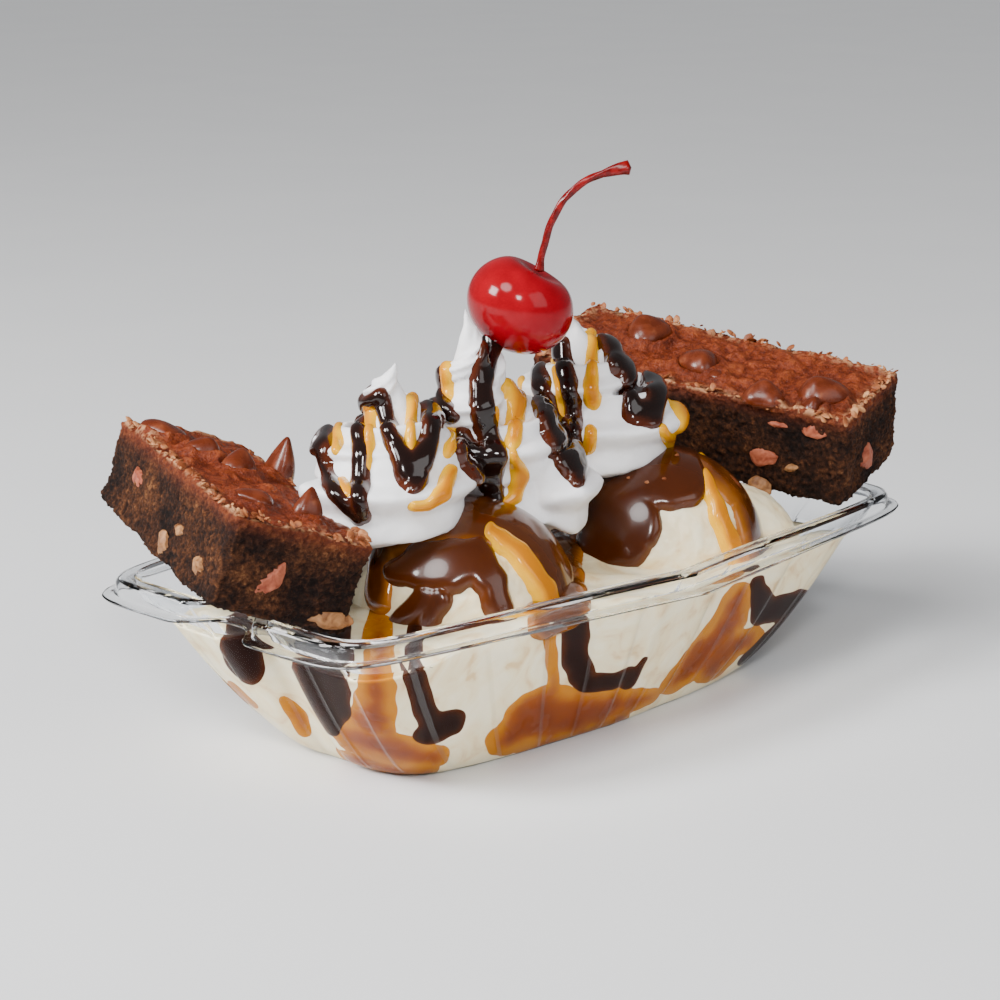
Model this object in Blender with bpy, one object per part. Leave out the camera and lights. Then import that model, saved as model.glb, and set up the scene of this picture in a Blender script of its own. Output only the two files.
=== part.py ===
"""Brownie sundae in a clear boat-shaped dish.

Two scoops of vanilla ice cream lie in a thin pleated dish, in a bed of ice
cream, caramel and fudge.  A brownie bar lies across each end, and three piped
mounds of whipped cream stand on the scoops, with a stemmed cherry on top.

Frame: metres, +Z up, +X along the dish.  The origin is the middle of the flat
face that the dish stands on.
"""
import bmesh
import bpy
from math import atan2, cos, exp, pi, radians, sin, tanh, tau
from mathutils import Matrix, Vector, noise
from mathutils.bvhtree import BVHTree

# ---------------------------------------------------------------- dimensions
GAP = 0.0004               # clearance between pieces that touch

DISH_LENGTH = 0.1866       # over the thin outer flange
DISH_WIDTH = 0.109
DISH_HEIGHT = 0.0400
DISH_WALL = 0.0008
BASE_LENGTH = 0.113        # the flat that it stands on
BASE_WIDTH = 0.053
RIM_WIDTH = 0.0078         # from the mouth's edge to the flange's edge
FLANGE_DROP = 0.0035       # from the rim's flat top down to the flange
RIM_TAPER = 0.151          # how fast each long side closes towards the ends
BASE_TAPER = 0.06
RIM_CORNER = 14.0          # sharpness of the corners in plan
BASE_CORNER = 5.0
NOTCH_DEPTH = 0.0078       # finger notch in the middle of each end
NOTCH_HALF_WIDTH = 0.0088
WALL_SWELL = 0.70          # below 1, the wall swells out above the base
PLEAT_COUNT = 16
PLEAT_DEPTH = 0.0009
RIM_POINTS = 64            # points round the dish and its contents
ROUND_SQUEEZE = 0.62       # spreads those points evenly round the long outline

CARAMEL_LEVEL = 0.0095     # top of the caramel that has run to the bottom
BED_LEVEL = 0.0345         # top of the bed at the middle of the dish
BED_END_LEVEL = 0.0255     # and near its ends
BED_WAVE = 0.0012          # how uneven its top is
CARAMEL_WAVE = 0.0022
CARAMEL_RIPPLE = 0.0010

SCOOP_LEFT_CENTRE = (-0.0283, -0.0090, 0.0300)
SCOOP_LEFT_RADII = (0.0245, 0.0235, 0.0230)
SCOOP_RIGHT_CENTRE = (0.0330, -0.0120, 0.0310)
SCOOP_RIGHT_RADII = (0.0230, 0.0225, 0.0230)
SCOOP_END_CENTRE = (0.0575, -0.0140, 0.0270)
SCOOP_END_RADII = (0.0140, 0.0160, 0.0155)
SCOOP_GRAIN = 0.0005       # how rough a scoop's skin is
SAUCE_CAP = 0.0014         # thickness of the fudge that lies on a scoop
SAUCE_LEFT, SAUCE_RIGHT = 0.35, 0.45    # how far down it lies, as a share of the scoop's height
NO_SAUCE = 2.0
SCOOP_SEGMENTS = 18
SCOOP_RINGS = 9

BROWNIE_WIDTH = 0.0325
BROWNIE_LEFT_LENGTH = 0.0740
BROWNIE_LEFT_THICKNESS = 0.0215
BROWNIE_LEFT_CENTRE = (-0.0700, 0.0190, 0.0509)
BROWNIE_LEFT_TURN = (3.2, 19.0, -19.7)       # degrees about X, Y and Z
BROWNIE_LEFT_CROWN = 0.0026     # how far the crust has risen at the far end
BROWNIE_LEFT_TAPER = 0.11       # how much thinner the bar's far end is below
BROWNIE_RIGHT_LENGTH = 0.0840
BROWNIE_RIGHT_THICKNESS = 0.0238
BROWNIE_RIGHT_CENTRE = (0.0731, 0.0062, 0.0570)
BROWNIE_RIGHT_TURN = (6.5, -12.4, 14.1)
BROWNIE_RIGHT_CROWN = 0.0006
BROWNIE_RIGHT_TAPER = 0.0
BROWNIE_GRID = (5, 11, 3)  # faces across, along and up
CRUMB_DEPTH = 0.0007       # how rough the cut faces are
CRUST_DEPTH = 0.0008       # and the crust

CREAM_LOBES = 7            # ridges left by the star nozzle
CREAM_LOBE_DEPTH = 0.09
CREAM_TIERS = 2.0          # turns of each piped mound
CREAM_TIER_DEPTH = 0.20
CREAM_SEGMENTS = 28
CREAM_LEVELS = 8
PEAK_LEVELS = 5            # on the small mound beside the cherry
DRIZZLE_RADIUS = 0.0018
DRIZZLE_SWAY = 0.0014
DRIZZLE_STEPS = 7
DRIZZLE_SIDES = 5
DRIZZLE_LOWEST = 0.045     # it is drawn no lower than this
DRIZZLE_HEADING = radians(44)   # plan direction in which the drizzle was drawn

CHERRY_CENTRE = (-0.0039, -0.0025, 0.0921)
CHERRY_RADIUS = 0.0121
CHERRY_HALF_HEIGHT = 0.0104
CHERRY_LEAN = radians(30)       # from upright, towards CHERRY_HEADING
CHERRY_HEADING = radians(-46)
CHERRY_SEGMENTS = 20
CHERRY_RINGS = 10
DIMPLE_DEPTH = 0.0030
DIMPLE_WIDTH = 0.42             # radians from the stem
STEM_RADIUS = 0.0008
STEM_KNOB = 1.1                 # how much thicker its cut end is
STEM_SIDES = 7
STEM_STEPS = 10


# ------------------------------------------------------------------- helpers
def clear_scene():
    for item in list(bpy.data.objects):
        bpy.data.objects.remove(item, do_unlink=True)


def material(name, colour, roughness, alpha=1.0):
    made = bpy.data.materials.new(name)
    made.use_nodes = True
    shader = made.node_tree.nodes["Principled BSDF"]
    shader.inputs["Base Color"].default_value = (*colour, 1.0)
    shader.inputs["Roughness"].default_value = roughness
    shader.inputs["Alpha"].default_value = alpha
    made.diffuse_color = (*colour, alpha)
    return made


def add_object(name, points, faces, finish):
    mesh = bpy.data.meshes.new(name)
    mesh.from_pydata([tuple(p) for p in points], [], faces)
    mesh.validate()
    mesh.update()
    made = bpy.data.objects.new(name, mesh)
    bpy.context.collection.objects.link(made)
    if finish:
        mesh.materials.append(finish)
    mesh.shade_smooth()
    mesh.set_sharp_from_angle(angle=radians(40))
    return made


def stacked_rings(rings, start, end):
    """Closed skin over rings of equal length, with a point at each end.

    The rings run anticlockwise seen from outside the end point."""
    count = len(rings[0])
    points = [start] + [p for ring in rings for p in ring] + [end]
    faces = [(0, 1 + (i + 1) % count, 1 + i) for i in range(count)]
    for r in range(len(rings) - 1):
        low, high = 1 + r * count, 1 + (r + 1) * count
        for i in range(count):
            j = (i + 1) % count
            faces.append((low + i, low + j, high + j, high + i))
    last, tip = 1 + (len(rings) - 1) * count, len(points) - 1
    faces += [(last + i, last + (i + 1) % count, tip) for i in range(count)]
    return points, faces


def split_into_triangles(item):
    """Flat faces only, so that a Boolean on a curved skin stays clean."""
    work = bmesh.new()
    work.from_mesh(item.data)
    bmesh.ops.triangulate(work, faces=work.faces)
    work.to_mesh(item.data)
    work.free()
    return item


def evaluated_mesh(item):
    graph = bpy.context.evaluated_depsgraph_get()
    return bpy.data.meshes.new_from_object(item.evaluated_get(graph), depsgraph=graph)


def combine(target, tools, operation):
    """Boolean of the target with every tool at once, applied to the target."""
    group = bpy.data.collections.new(target.name + "_tools")
    bpy.context.scene.collection.children.link(group)
    for tool in tools:
        group.objects.link(tool)
    step = target.modifiers.new("combine", "BOOLEAN")
    step.operation = operation
    step.solver = "MANIFOLD"
    step.operand_type = "COLLECTION"
    step.collection = group
    result = evaluated_mesh(target)
    target.modifiers.clear()
    target.data = result
    for tool in tools:
        bpy.data.objects.remove(tool, do_unlink=True)
    bpy.data.collections.remove(group)


def swollen_copy(item, margin):
    """Copy of a closed piece, pushed out along its normals, for cutting room."""
    mesh = evaluated_mesh(item)
    mesh.transform(item.matrix_world)
    for vertex, normal in zip(mesh.vertices, [v.normal.copy() for v in mesh.vertices]):
        vertex.co += margin * normal
    copy = bpy.data.objects.new(item.name + "_room", mesh)
    bpy.context.collection.objects.link(copy)
    return copy


def settle(item):
    """Put a piece's place into its mesh."""
    item.data.transform(item.matrix_world)
    item.matrix_world = Matrix.Identity(4)


def drop_scraps(item):
    """Keep the largest body that the cuts have left, and fill any sealed hollow."""
    work = bmesh.new()
    work.from_mesh(item.data)
    left, bodies = set(work.faces), []
    while left:
        body, edge = [], [left.pop()]
        while edge:
            face = edge.pop()
            body.append(face)
            for link in face.edges:
                for other in link.link_faces:
                    if other in left:
                        left.discard(other)
                        edge.append(other)
        bodies.append(body)
    bodies.sort(key=len, reverse=True)
    scraps = [face for body in bodies[1:] for face in body]
    bmesh.ops.delete(work, geom=scraps, context="FACES")
    work.to_mesh(item.data)
    work.free()


# ---------------------------------------------------------------------- dish
def boat_radius(angle, half_length, half_width, taper, corner):
    """Plan outline: blunt ends, long sides that close in from the middle."""
    along, across = abs(cos(angle)), abs(sin(angle))
    end = half_length / max(along, 1e-6)
    side = half_width / (across + taper * along)
    return (end ** -corner + side ** -corner) ** (-1.0 / corner)


def rim_radius(angle):
    radius = boat_radius(angle, DISH_LENGTH / 2, DISH_WIDTH / 2, RIM_TAPER, RIM_CORNER)
    across = radius * sin(angle)
    return radius - NOTCH_DEPTH * exp(-(across / NOTCH_HALF_WIDTH) ** 4)


def wall_radius(angle, height):
    """Outer face of the wall at a height above the base."""
    share = max(height, 0.0) / DISH_HEIGHT
    base = boat_radius(angle, BASE_LENGTH / 2, BASE_WIDTH / 2, BASE_TAPER, BASE_CORNER)
    mouth = rim_radius(angle) - RIM_WIDTH
    spread = base + (mouth - base) * share ** WALL_SWELL
    way_round = atan2(sin(angle) / ROUND_SQUEEZE, cos(angle))
    pleat = 0.5 + 0.5 * tanh(2.5 * cos(PLEAT_COUNT * way_round))
    return spread - PLEAT_DEPTH * pleat * sin(pi * min(share, 1.0)) ** 0.5


def rim_angle(i):
    way_round = tau * i / RIM_POINTS
    return atan2(ROUND_SQUEEZE * sin(way_round), cos(way_round))


def ring_at(radius_of, height_of):
    angles = [rim_angle(i) for i in range(RIM_POINTS)]
    return [(radius_of(a) * cos(a), radius_of(a) * sin(a), height_of(a)) for a in angles]


WALL_SHARES = (0.0, 0.015, 0.08, 0.25, 0.50, 0.75)


def make_dish(finish):
    flange = DISH_HEIGHT - FLANGE_DROP
    heights = [share * DISH_HEIGHT for share in WALL_SHARES]
    under_rim = [(RIM_WIDTH - 0.0004, DISH_HEIGHT - 0.0013), (0.0042, DISH_HEIGHT - 0.0012),
                 (0.0034, flange - 0.0004), (0.0002, flange - 0.0006)]
    over_rim = [(0.0, flange), (0.0029, flange + 0.0004), (0.0036, DISH_HEIGHT - 0.0004),
                (0.0046, DISH_HEIGHT), (RIM_WIDTH, DISH_HEIGHT)]
    rings = [ring_at(lambda a, h=h: wall_radius(a, h), lambda a, h=h: h) for h in heights]
    for inset, height in under_rim + over_rim:
        rings.append(ring_at(lambda a, d=inset: rim_radius(a) - d, lambda a, h=height: h))
    for height in reversed(heights):
        rings.append(ring_at(lambda a, h=height: wall_radius(a, h) - DISH_WALL,
                             lambda a, h=height: h + DISH_WALL))
    points, faces = stacked_rings(rings, (0, 0, 0), (0, 0, DISH_WALL))
    return add_object("dish", points, faces, finish)


def rim_room():
    """Block all round under the rim's top: a bar that rests there is dented."""
    top = DISH_HEIGHT + GAP
    sides = []
    for inset in (-GAP, RIM_WIDTH + 3 * DISH_WALL):
        rings = [ring_at(lambda a: rim_radius(a) - inset, lambda a, h=h: h) for h in (0.0, top)]
        points, faces = stacked_rings(rings, (0, 0, 0), (0, 0, top))
        sides.append(add_object("rim_room", points, faces, None))
    combine(sides[0], [swollen_mouth(sides[1])], "DIFFERENCE")
    return sides[0]


def swollen_mouth(item):
    """Stretch a cutter up and down, so that it passes right through."""
    for vertex in item.data.vertices:
        vertex.co.z = vertex.co.z * 1.5 - 0.005
    return item


# ------------------------------------------------------- what lies in the dish
def bed_level(x, y):
    """Uneven top of the bed, lower towards the ends."""
    fall = (abs(x) / (DISH_LENGTH / 2)) ** 3
    wave = BED_WAVE * sin(70 * x + 0.6) * cos(95 * y)
    return BED_LEVEL + (BED_END_LEVEL - BED_LEVEL) * fall + wave


def caramel_level(x, y):
    wave = CARAMEL_WAVE * sin(95 * x + 1.1) * cos(60 * y)
    return CARAMEL_LEVEL + wave + CARAMEL_RIPPLE * sin(210 * x)


def filling(name, level, finish):
    """Solid that fills the dish up to a level, a small gap from its wall."""
    floor = inset = DISH_WALL + GAP
    shares = (0.0, 0.10, 0.4, 1.0)
    tops = []
    for i in range(RIM_POINTS):
        angle = rim_angle(i)
        reach = wall_radius(angle, BED_END_LEVEL)
        tops.append(level(reach * cos(angle), reach * sin(angle)))

    def point(i, share):
        angle = rim_angle(i)
        height = floor + (tops[i] - floor) * share
        radius = wall_radius(angle, height - floor) - inset
        return Vector((radius * cos(angle), radius * sin(angle), height))

    rings = [[point(i, share) for i in range(RIM_POINTS)] for share in shares]
    inner = 0.6
    rings.append([Vector((p.x * inner, p.y * inner, level(p.x * inner, p.y * inner)))
                  for p in rings[-1]])
    points, faces = stacked_rings(rings, (0, 0, floor), (0, 0, level(0, 0)))
    return add_object(name, points, faces, finish)


def scoop(name, centre, radii, cap, finish):
    """Ball of ice cream with thick sauce over its top, down to the height cap."""
    def surface(around, up):
        out = Vector((cos(around) * cos(up), sin(around) * cos(up), sin(up)))
        grain = SCOOP_GRAIN * noise.noise(out * 3.0 + Vector(centre) * 200)
        edge = cap + 0.16 * sin(3 * around + 1.0) + 0.10 * sin(5 * around)
        sauce = SAUCE_CAP * (0.5 + 0.5 * tanh(9.0 * (sin(up) - edge)))
        place = Vector(centre) + Vector(r * o for r, o in zip(radii, out))
        return place + (grain + sauce) * out

    rings = []
    for r in range(1, SCOOP_RINGS):
        up = -pi / 2 + pi * r / SCOOP_RINGS
        rings.append([surface(tau * i / SCOOP_SEGMENTS, up) for i in range(SCOOP_SEGMENTS)])
    points, faces = stacked_rings(rings, surface(0.0, -pi / 2), surface(0.0, pi / 2))
    return add_object(name, points, faces, finish)


# ------------------------------------------------------------------ brownies
def chip(place, radius, height, lean):
    """Chocolate chip: a low dome drawn up to a point, half sunk in the crust."""
    segments, levels = 8, ((1.0, -0.3), (0.95, 0.15), (0.6, 0.68), (0.2, 0.95))
    rings = []
    for share, rise in levels:
        centre = place + Vector((lean * rise * height, 0, rise * height))
        rings.append([centre + Vector((share * radius * cos(tau * i / segments),
                                       0.85 * share * radius * sin(tau * i / segments), 0))
                      for i in range(segments)])
    points, faces = stacked_rings(rings, place + Vector((0, 0, -0.3 * height)),
                                  place + Vector((lean * height, 0, height)))
    return add_object("chip", points, faces, None)


def brownie(name, length, thickness, centre, turn, taper, crown, chips, finish):
    """Cut bar with rough crumb faces, a lifted crust and chips along its top."""
    across, along, layers = BROWNIE_GRID
    half = Vector((BROWNIE_WIDTH / 2, length / 2, thickness / 2))
    index, points, faces = {}, [], []

    def corner(i, j, k):
        key = (i, j, k)
        if key not in index:
            u = Vector((2 * i / across - 1, 2 * j / along - 1, 2 * k / layers - 1))
            place = Vector(a * b for a, b in zip(half, u))
            if place.z < 0:
                place.z *= 1.0 - taper * (1.0 + u.y)
            else:
                place.z += crown * (1.0 - u.x ** 2) * (0.5 + 0.5 * u.y) * u.z
            place.x *= 1.0 + 0.05 * u.z * u.z - 0.02
            rough = noise.noise_vector(place * 260 + Vector(centre) * 90)
            crust = CRUST_DEPTH * noise.noise(place * 90 + Vector(centre) * 40) if k == layers else 0
            place += CRUMB_DEPTH * rough + Vector((0, 0, crust))
            index[key] = len(points)
            points.append(place)
        return index[key]

    for side in (0, 1):
        flip = (lambda f: f) if side else (lambda f: tuple(reversed(f)))
        i, j, k = side * across, side * along, side * layers
        for a in range(along):
            for b in range(layers):
                faces.append(flip((corner(i, a, b), corner(i, a + 1, b),
                                   corner(i, a + 1, b + 1), corner(i, a, b + 1))))
        for a in range(across):
            for b in range(layers):
                faces.append(flip((corner(a, j, b), corner(a, j, b + 1),
                                   corner(a + 1, j, b + 1), corner(a + 1, j, b))))
            for b in range(along):
                faces.append(flip((corner(a, b, k), corner(a + 1, b, k),
                                   corner(a + 1, b + 1, k), corner(a, b + 1, k))))
    bar = add_object(name, points, faces, finish)
    pieces = []
    for u, v, radius, height, lean in chips:
        top = thickness / 2 + crown * (1.0 - u ** 2) * (0.5 + 0.5 * v)
        pieces.append(chip(Vector((u * half.x, v * half.y, top)), radius, height, lean))
    combine(bar, pieces, "UNION")
    bar.location = centre
    bar.rotation_euler = [radians(angle) for angle in turn]
    bpy.context.view_layer.update()
    settle(bar)
    return bar


# Chips: place across and along the top from -1 to 1, radius, height and lean.
CHIPS_LEFT = ((-0.45, 0.80, 0.0050, 0.0020, 0.0), (-0.60, 0.42, 0.0038, 0.0026, 0.2),
              (0.05, 0.36, 0.0044, 0.0034, 0.1), (0.62, 0.34, 0.0038, 0.0066, 0.1),
              (-0.42, -0.12, 0.0042, 0.0022, 0.0), (0.25, -0.42, 0.0044, 0.0040, 0.3),
              (-0.05, -0.78, 0.0034, 0.0022, 0.0))
CHIPS_RIGHT = ((-0.45, 0.72, 0.0060, 0.0042, 0.0), (-0.10, 0.16, 0.0050, 0.0034, 0.1),
               (-0.30, -0.30, 0.0048, 0.0040, 0.3), (0.15, -0.52, 0.0060, 0.0048, 0.0),
               (0.55, -0.02, 0.0036, 0.0026, 0.0), (-0.62, 0.26, 0.0036, 0.0022, 0.0))


# ------------------------------------------------------------- whipped cream
# Mounds: middle of the foot, foot radius, height to the peak, lean of the peak.
CREAM_MOUNDS = (((-0.0425, 0.0010, 0.0480), 0.0222, 0.0350, (0.0035, -0.0010), 0.45),
                ((-0.0080, -0.0010, 0.0435), 0.0225, 0.0440, (-0.0040, 0.0010), 1.7),
                ((0.0285, 0.0020, 0.0485), 0.0230, 0.0410, (-0.0085, 0.0020), 3.0))
CREAM_PEAK = ((-0.0185, -0.0015, 0.0635), 0.0100, 0.0310, (-0.0010, 0.0), 0.2)


def piped_mound(foot, radius, height, lean, turn, levels, finish):
    """Star-nozzle swirl: tiers that wind up to a peak, with ridges all round."""
    def surface(around, rise):
        shoulder = (1.0 - rise ** 1.5) ** 0.9
        tier = abs(sin(pi * (CREAM_TIERS * rise + 0.25) + around / 2)) ** 0.6
        ridge = 1.0 + CREAM_LOBE_DEPTH * cos(CREAM_LOBES * around + 2.2 * rise + turn)
        reach = radius * shoulder * (1.0 - CREAM_TIER_DEPTH + CREAM_TIER_DEPTH * tier) * ridge
        reach *= min(1.0, 0.80 + 2.0 * rise)
        return Vector((foot[0] + reach * cos(around) + lean[0] * rise,
                       foot[1] + reach * sin(around) + lean[1] * rise,
                       foot[2] + height * rise))

    rings = []
    for level in range(levels):
        rise = level / levels
        rings.append([surface(tau * i / CREAM_SEGMENTS, rise) for i in range(CREAM_SEGMENTS)])
    points, faces = stacked_rings(rings, Vector(foot), surface(0.0, 1.0))
    return split_into_triangles(add_object("mound", points, faces, finish))


# Stripes: where each crosses the dish's middle line, and how far it runs
# towards the front and back of the cream.
DRIZZLES = ((-0.0560, 0.020, 0.010), (-0.0430, 0.024, 0.014), (-0.0300, 0.026, 0.010),
            (-0.0150, 0.026, 0.004), (0.0060, 0.030, -0.008), (0.0230, 0.022, 0.010))


def drizzle(skin, start, front, back):
    """Rope of sauce that falls on the cream and follows its folds."""
    ahead = Vector((cos(DRIZZLE_HEADING), sin(DRIZZLE_HEADING)))
    aside = Vector((-ahead.y, ahead.x))
    path = []
    for s in range(DRIZZLE_STEPS + 1):
        run = -front + (front + back) * s / DRIZZLE_STEPS
        sway = aside * DRIZZLE_SWAY * sin(run * 420 + start * 900)
        spot = Vector((start, 0.0)) + ahead * run + sway
        hit = skin.ray_cast(Vector((spot.x, spot.y, 0.2)), Vector((0, 0, -1)))[0]
        if hit and hit.z > DRIZZLE_LOWEST:
            path.append(hit)
    rings = []
    for i, place in enumerate(path):
        along = (path[min(i + 1, len(path) - 1)] - path[max(i - 1, 0)]).normalized()
        side = Vector((aside.x, aside.y, 0.0))
        up = along.cross(side).normalized()
        size = DRIZZLE_RADIUS * (0.85 + 0.25 * sin(2.3 * i + start * 500))
        turns = [tau * k / DRIZZLE_SIDES for k in range(DRIZZLE_SIDES)]
        rings.append([place + size * (cos(a) * side + sin(a) * up) for a in turns])
    points, faces = stacked_rings(rings, path[0], path[-1])
    return split_into_triangles(add_object("drizzle", points, faces, None))


def make_cream(finish, rooms):
    mounds = [piped_mound(*mound, CREAM_LEVELS, finish) for mound in CREAM_MOUNDS]
    mounds.append(piped_mound(*CREAM_PEAK, PEAK_LEVELS, finish))
    cream = mounds[0]
    cream.name = "whipped_cream"
    combine(cream, mounds[1:], "UNION")
    skin = BVHTree.FromPolygons([v.co for v in cream.data.vertices],
                                [tuple(p.vertices) for p in cream.data.polygons])
    combine(cream, [drizzle(skin, *stripe) for stripe in DRIZZLES], "UNION")
    combine(cream, rooms, "DIFFERENCE")
    drop_scraps(cream)
    return cream


# -------------------------------------------------------------------- cherry
def cherry_axis():
    return Vector((sin(CHERRY_LEAN) * cos(CHERRY_HEADING),
                   sin(CHERRY_LEAN) * sin(CHERRY_HEADING), cos(CHERRY_LEAN)))


def make_cherry(finish):
    """Round fruit, a little flat, with a dimple where its stem comes out."""
    turn = cherry_axis().to_track_quat("Z", "Y").to_matrix()

    def surface(around, up):
        dimple = DIMPLE_DEPTH * exp(-((pi / 2 - up) / DIMPLE_WIDTH) ** 2)
        out = Vector((CHERRY_RADIUS * cos(up) * cos(around),
                      CHERRY_RADIUS * cos(up) * sin(around),
                      CHERRY_HALF_HEIGHT * sin(up) - dimple))
        return turn @ out + Vector(CHERRY_CENTRE)

    rings = []
    for r in range(1, CHERRY_RINGS):
        up = -pi / 2 + pi * r / CHERRY_RINGS
        rings.append([surface(tau * i / CHERRY_SEGMENTS, up) for i in range(CHERRY_SEGMENTS)])
    points, faces = stacked_rings(rings, surface(0, -pi / 2), surface(0, pi / 2))
    return add_object("cherry", points, faces, finish)


def stem_point(share):
    """Middle of the stem, from the dimple (0) to the thick cut end (1)."""
    aside = Vector((cos(CHERRY_HEADING), sin(CHERRY_HEADING), 0.0))
    reach = 0.0040 + 0.0060 * share + 0.0140 * share ** 3
    rise = 0.0072 + 0.0318 * share - 0.0090 * share ** 3
    return Vector(CHERRY_CENTRE) + aside * reach + Vector((0, 0, rise))


def make_stem(finish):
    aside = Vector((-sin(CHERRY_HEADING), cos(CHERRY_HEADING), 0.0))
    rings = []
    for s in range(STEM_STEPS + 1):
        share = s / STEM_STEPS
        ahead = (stem_point(share + 0.01) - stem_point(share - 0.01)).normalized()
        across = ahead.cross(aside).normalized()
        size = STEM_RADIUS * (1.0 + STEM_KNOB * max(0.0, (share - 0.85) / 0.15))
        turns = [tau * k / STEM_SIDES for k in range(STEM_SIDES)]
        rings.append([stem_point(share) + size * (cos(a) * aside + sin(a) * across)
                      for a in turns])
    points, faces = stacked_rings(rings, stem_point(0), stem_point(1))
    return add_object("cherry_stem", points, faces, finish)


# ------------------------------------------------------------------ assembly
def column(name, x, y, radius, margin=0.0):
    """Upright round column through the bed, where sauce has run down."""
    sides = 16
    ring = [(x + (radius + margin) * cos(tau * i / sides),
             y + (radius + margin) * sin(tau * i / sides)) for i in range(sides)]
    rings = [[Vector((px, py, z)) for px, py in ring] for z in (-0.01, 0.06)]
    points, faces = stacked_rings(rings, (x, y, -0.01), (x, y, 0.06))
    return add_object(name, points, faces, None)


# Sauce that has run down inside the wall: name, place and radius.
FUDGE_COLUMNS = (("fudge_left", -0.0685, -0.0195, 0.0085),
                 ("fudge_end", -0.0740, 0.0100, 0.0065),
                 ("fudge_middle", -0.0210, -0.0370, 0.0065),
                 ("fudge_right", 0.0470, -0.0340, 0.0080))
CARAMEL_COLUMNS = (("caramel_left", -0.0570, -0.0330, 0.0065),
                   ("caramel_right", 0.0280, -0.0370, 0.0070))


def lift_from_caramel(item, pool, scoops):
    """Cut away what the caramel below and the scoops take up."""
    combine(item, [swollen_copy(taken, GAP) for taken in [pool] + scoops], "DIFFERENCE")
    drop_scraps(item)


def main():
    clear_scene()
    clear = material("clear_plastic", (0.90, 0.94, 0.96), 0.08, alpha=0.25)
    vanilla = material("vanilla", (0.88, 0.79, 0.62), 0.5)
    caramel = material("caramel", (0.48, 0.16, 0.02), 0.2)
    fudge = material("fudge", (0.08, 0.025, 0.010), 0.25)
    crumb = material("brownie", (0.12, 0.045, 0.022), 0.85)
    white = material("whipped_cream", (0.90, 0.90, 0.90), 0.5)
    red = material("cherry_red", (0.62, 0.0, 0.008), 0.1)

    make_dish(clear)
    scoops = [scoop("scoop_left", SCOOP_LEFT_CENTRE, SCOOP_LEFT_RADII, SAUCE_LEFT, vanilla),
              scoop("scoop_right", SCOOP_RIGHT_CENTRE, SCOOP_RIGHT_RADII, SAUCE_RIGHT, vanilla),
              scoop("scoop_end", SCOOP_END_CENTRE, SCOOP_END_RADII, NO_SAUCE, vanilla)]
    bars = [brownie("brownie_left", BROWNIE_LEFT_LENGTH, BROWNIE_LEFT_THICKNESS,
                    BROWNIE_LEFT_CENTRE, BROWNIE_LEFT_TURN, BROWNIE_LEFT_TAPER,
                    BROWNIE_LEFT_CROWN, CHIPS_LEFT, crumb),
            brownie("brownie_right", BROWNIE_RIGHT_LENGTH, BROWNIE_RIGHT_THICKNESS,
                    BROWNIE_RIGHT_CENTRE, BROWNIE_RIGHT_TURN, BROWNIE_RIGHT_TAPER,
                    BROWNIE_RIGHT_CROWN, CHIPS_RIGHT, crumb)]
    for bar in bars:
        combine(bar, [rim_room()], "DIFFERENCE")
        drop_scraps(bar)
    fruit = make_cherry(red)
    stem = make_stem(red)
    combine(fruit, [swollen_copy(stem, GAP)], "DIFFERENCE")

    for ball in scoops:
        combine(ball, [swollen_copy(bar, GAP) for bar in bars], "DIFFERENCE")
    combine(scoops[2], [swollen_copy(scoops[1], GAP)], "DIFFERENCE")
    for ball in scoops:
        drop_scraps(ball)
    make_cream(white, [swollen_copy(item, GAP) for item in scoops[:2] + bars + [fruit]])

    pool = split_into_triangles(filling("caramel_pool", caramel_level, caramel))
    bed = filling("vanilla_bed", bed_level, vanilla)
    for columns, finish in ((FUDGE_COLUMNS, fudge), (CARAMEL_COLUMNS, caramel)):
        for name, x, y, radius in columns:
            sauce = filling(name, bed_level, finish)
            combine(sauce, [column("shape", x, y, radius)], "INTERSECT")
            lift_from_caramel(sauce, pool, scoops)
            combine(bed, [column("room", x, y, radius, GAP)], "DIFFERENCE")
    lift_from_caramel(bed, pool, scoops)
    combine(pool, [swollen_copy(ball, GAP) for ball in scoops], "DIFFERENCE")


main()
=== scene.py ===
"""Brownie sundae in a clear boat dish: the look of each piece, in the order it is built.

All sizes are in metres unless a name says otherwise. +X runs along the dish, +Z is up,
and the dish stands on z = 0.
"""
from math import cos, pi, radians, sin, tau

import bpy
import numpy as np
from mathutils import Euler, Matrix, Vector


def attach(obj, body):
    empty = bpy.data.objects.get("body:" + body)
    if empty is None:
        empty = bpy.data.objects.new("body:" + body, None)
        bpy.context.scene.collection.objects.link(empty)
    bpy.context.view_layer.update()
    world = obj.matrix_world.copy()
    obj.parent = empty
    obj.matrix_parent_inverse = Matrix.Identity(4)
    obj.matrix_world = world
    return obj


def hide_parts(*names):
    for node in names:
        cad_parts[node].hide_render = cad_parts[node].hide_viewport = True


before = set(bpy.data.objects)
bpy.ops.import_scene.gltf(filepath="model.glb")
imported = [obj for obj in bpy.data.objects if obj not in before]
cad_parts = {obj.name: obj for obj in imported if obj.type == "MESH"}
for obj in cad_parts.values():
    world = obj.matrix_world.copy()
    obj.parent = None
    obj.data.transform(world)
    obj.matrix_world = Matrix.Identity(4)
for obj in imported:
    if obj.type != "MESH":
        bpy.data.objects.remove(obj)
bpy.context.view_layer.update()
bpy.ops.object.select_all(action="DESELECT")

# ------------------------------------------------------------------ camera, floor and lights
# The sundae stands on a plain pale table. A soft box hangs at its left and a window lights it
# from the front left, with weaker lamps above the camera and at the right, and dim pale walls.
SIGHT = Vector((0.6953, 0.6749, -0.2470))
bpy.ops.object.camera_add(location=(-0.43997, -0.41965, 0.20188))
camera = bpy.context.object
camera.name = "camera"
camera.rotation_euler = SIGHT.to_track_quat("-Z", "Y").to_euler()
camera.data.lens = 100.8
camera.data.sensor_width = 36.0
camera.data.clip_start = 0.01
bpy.context.scene.camera = camera


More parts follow.
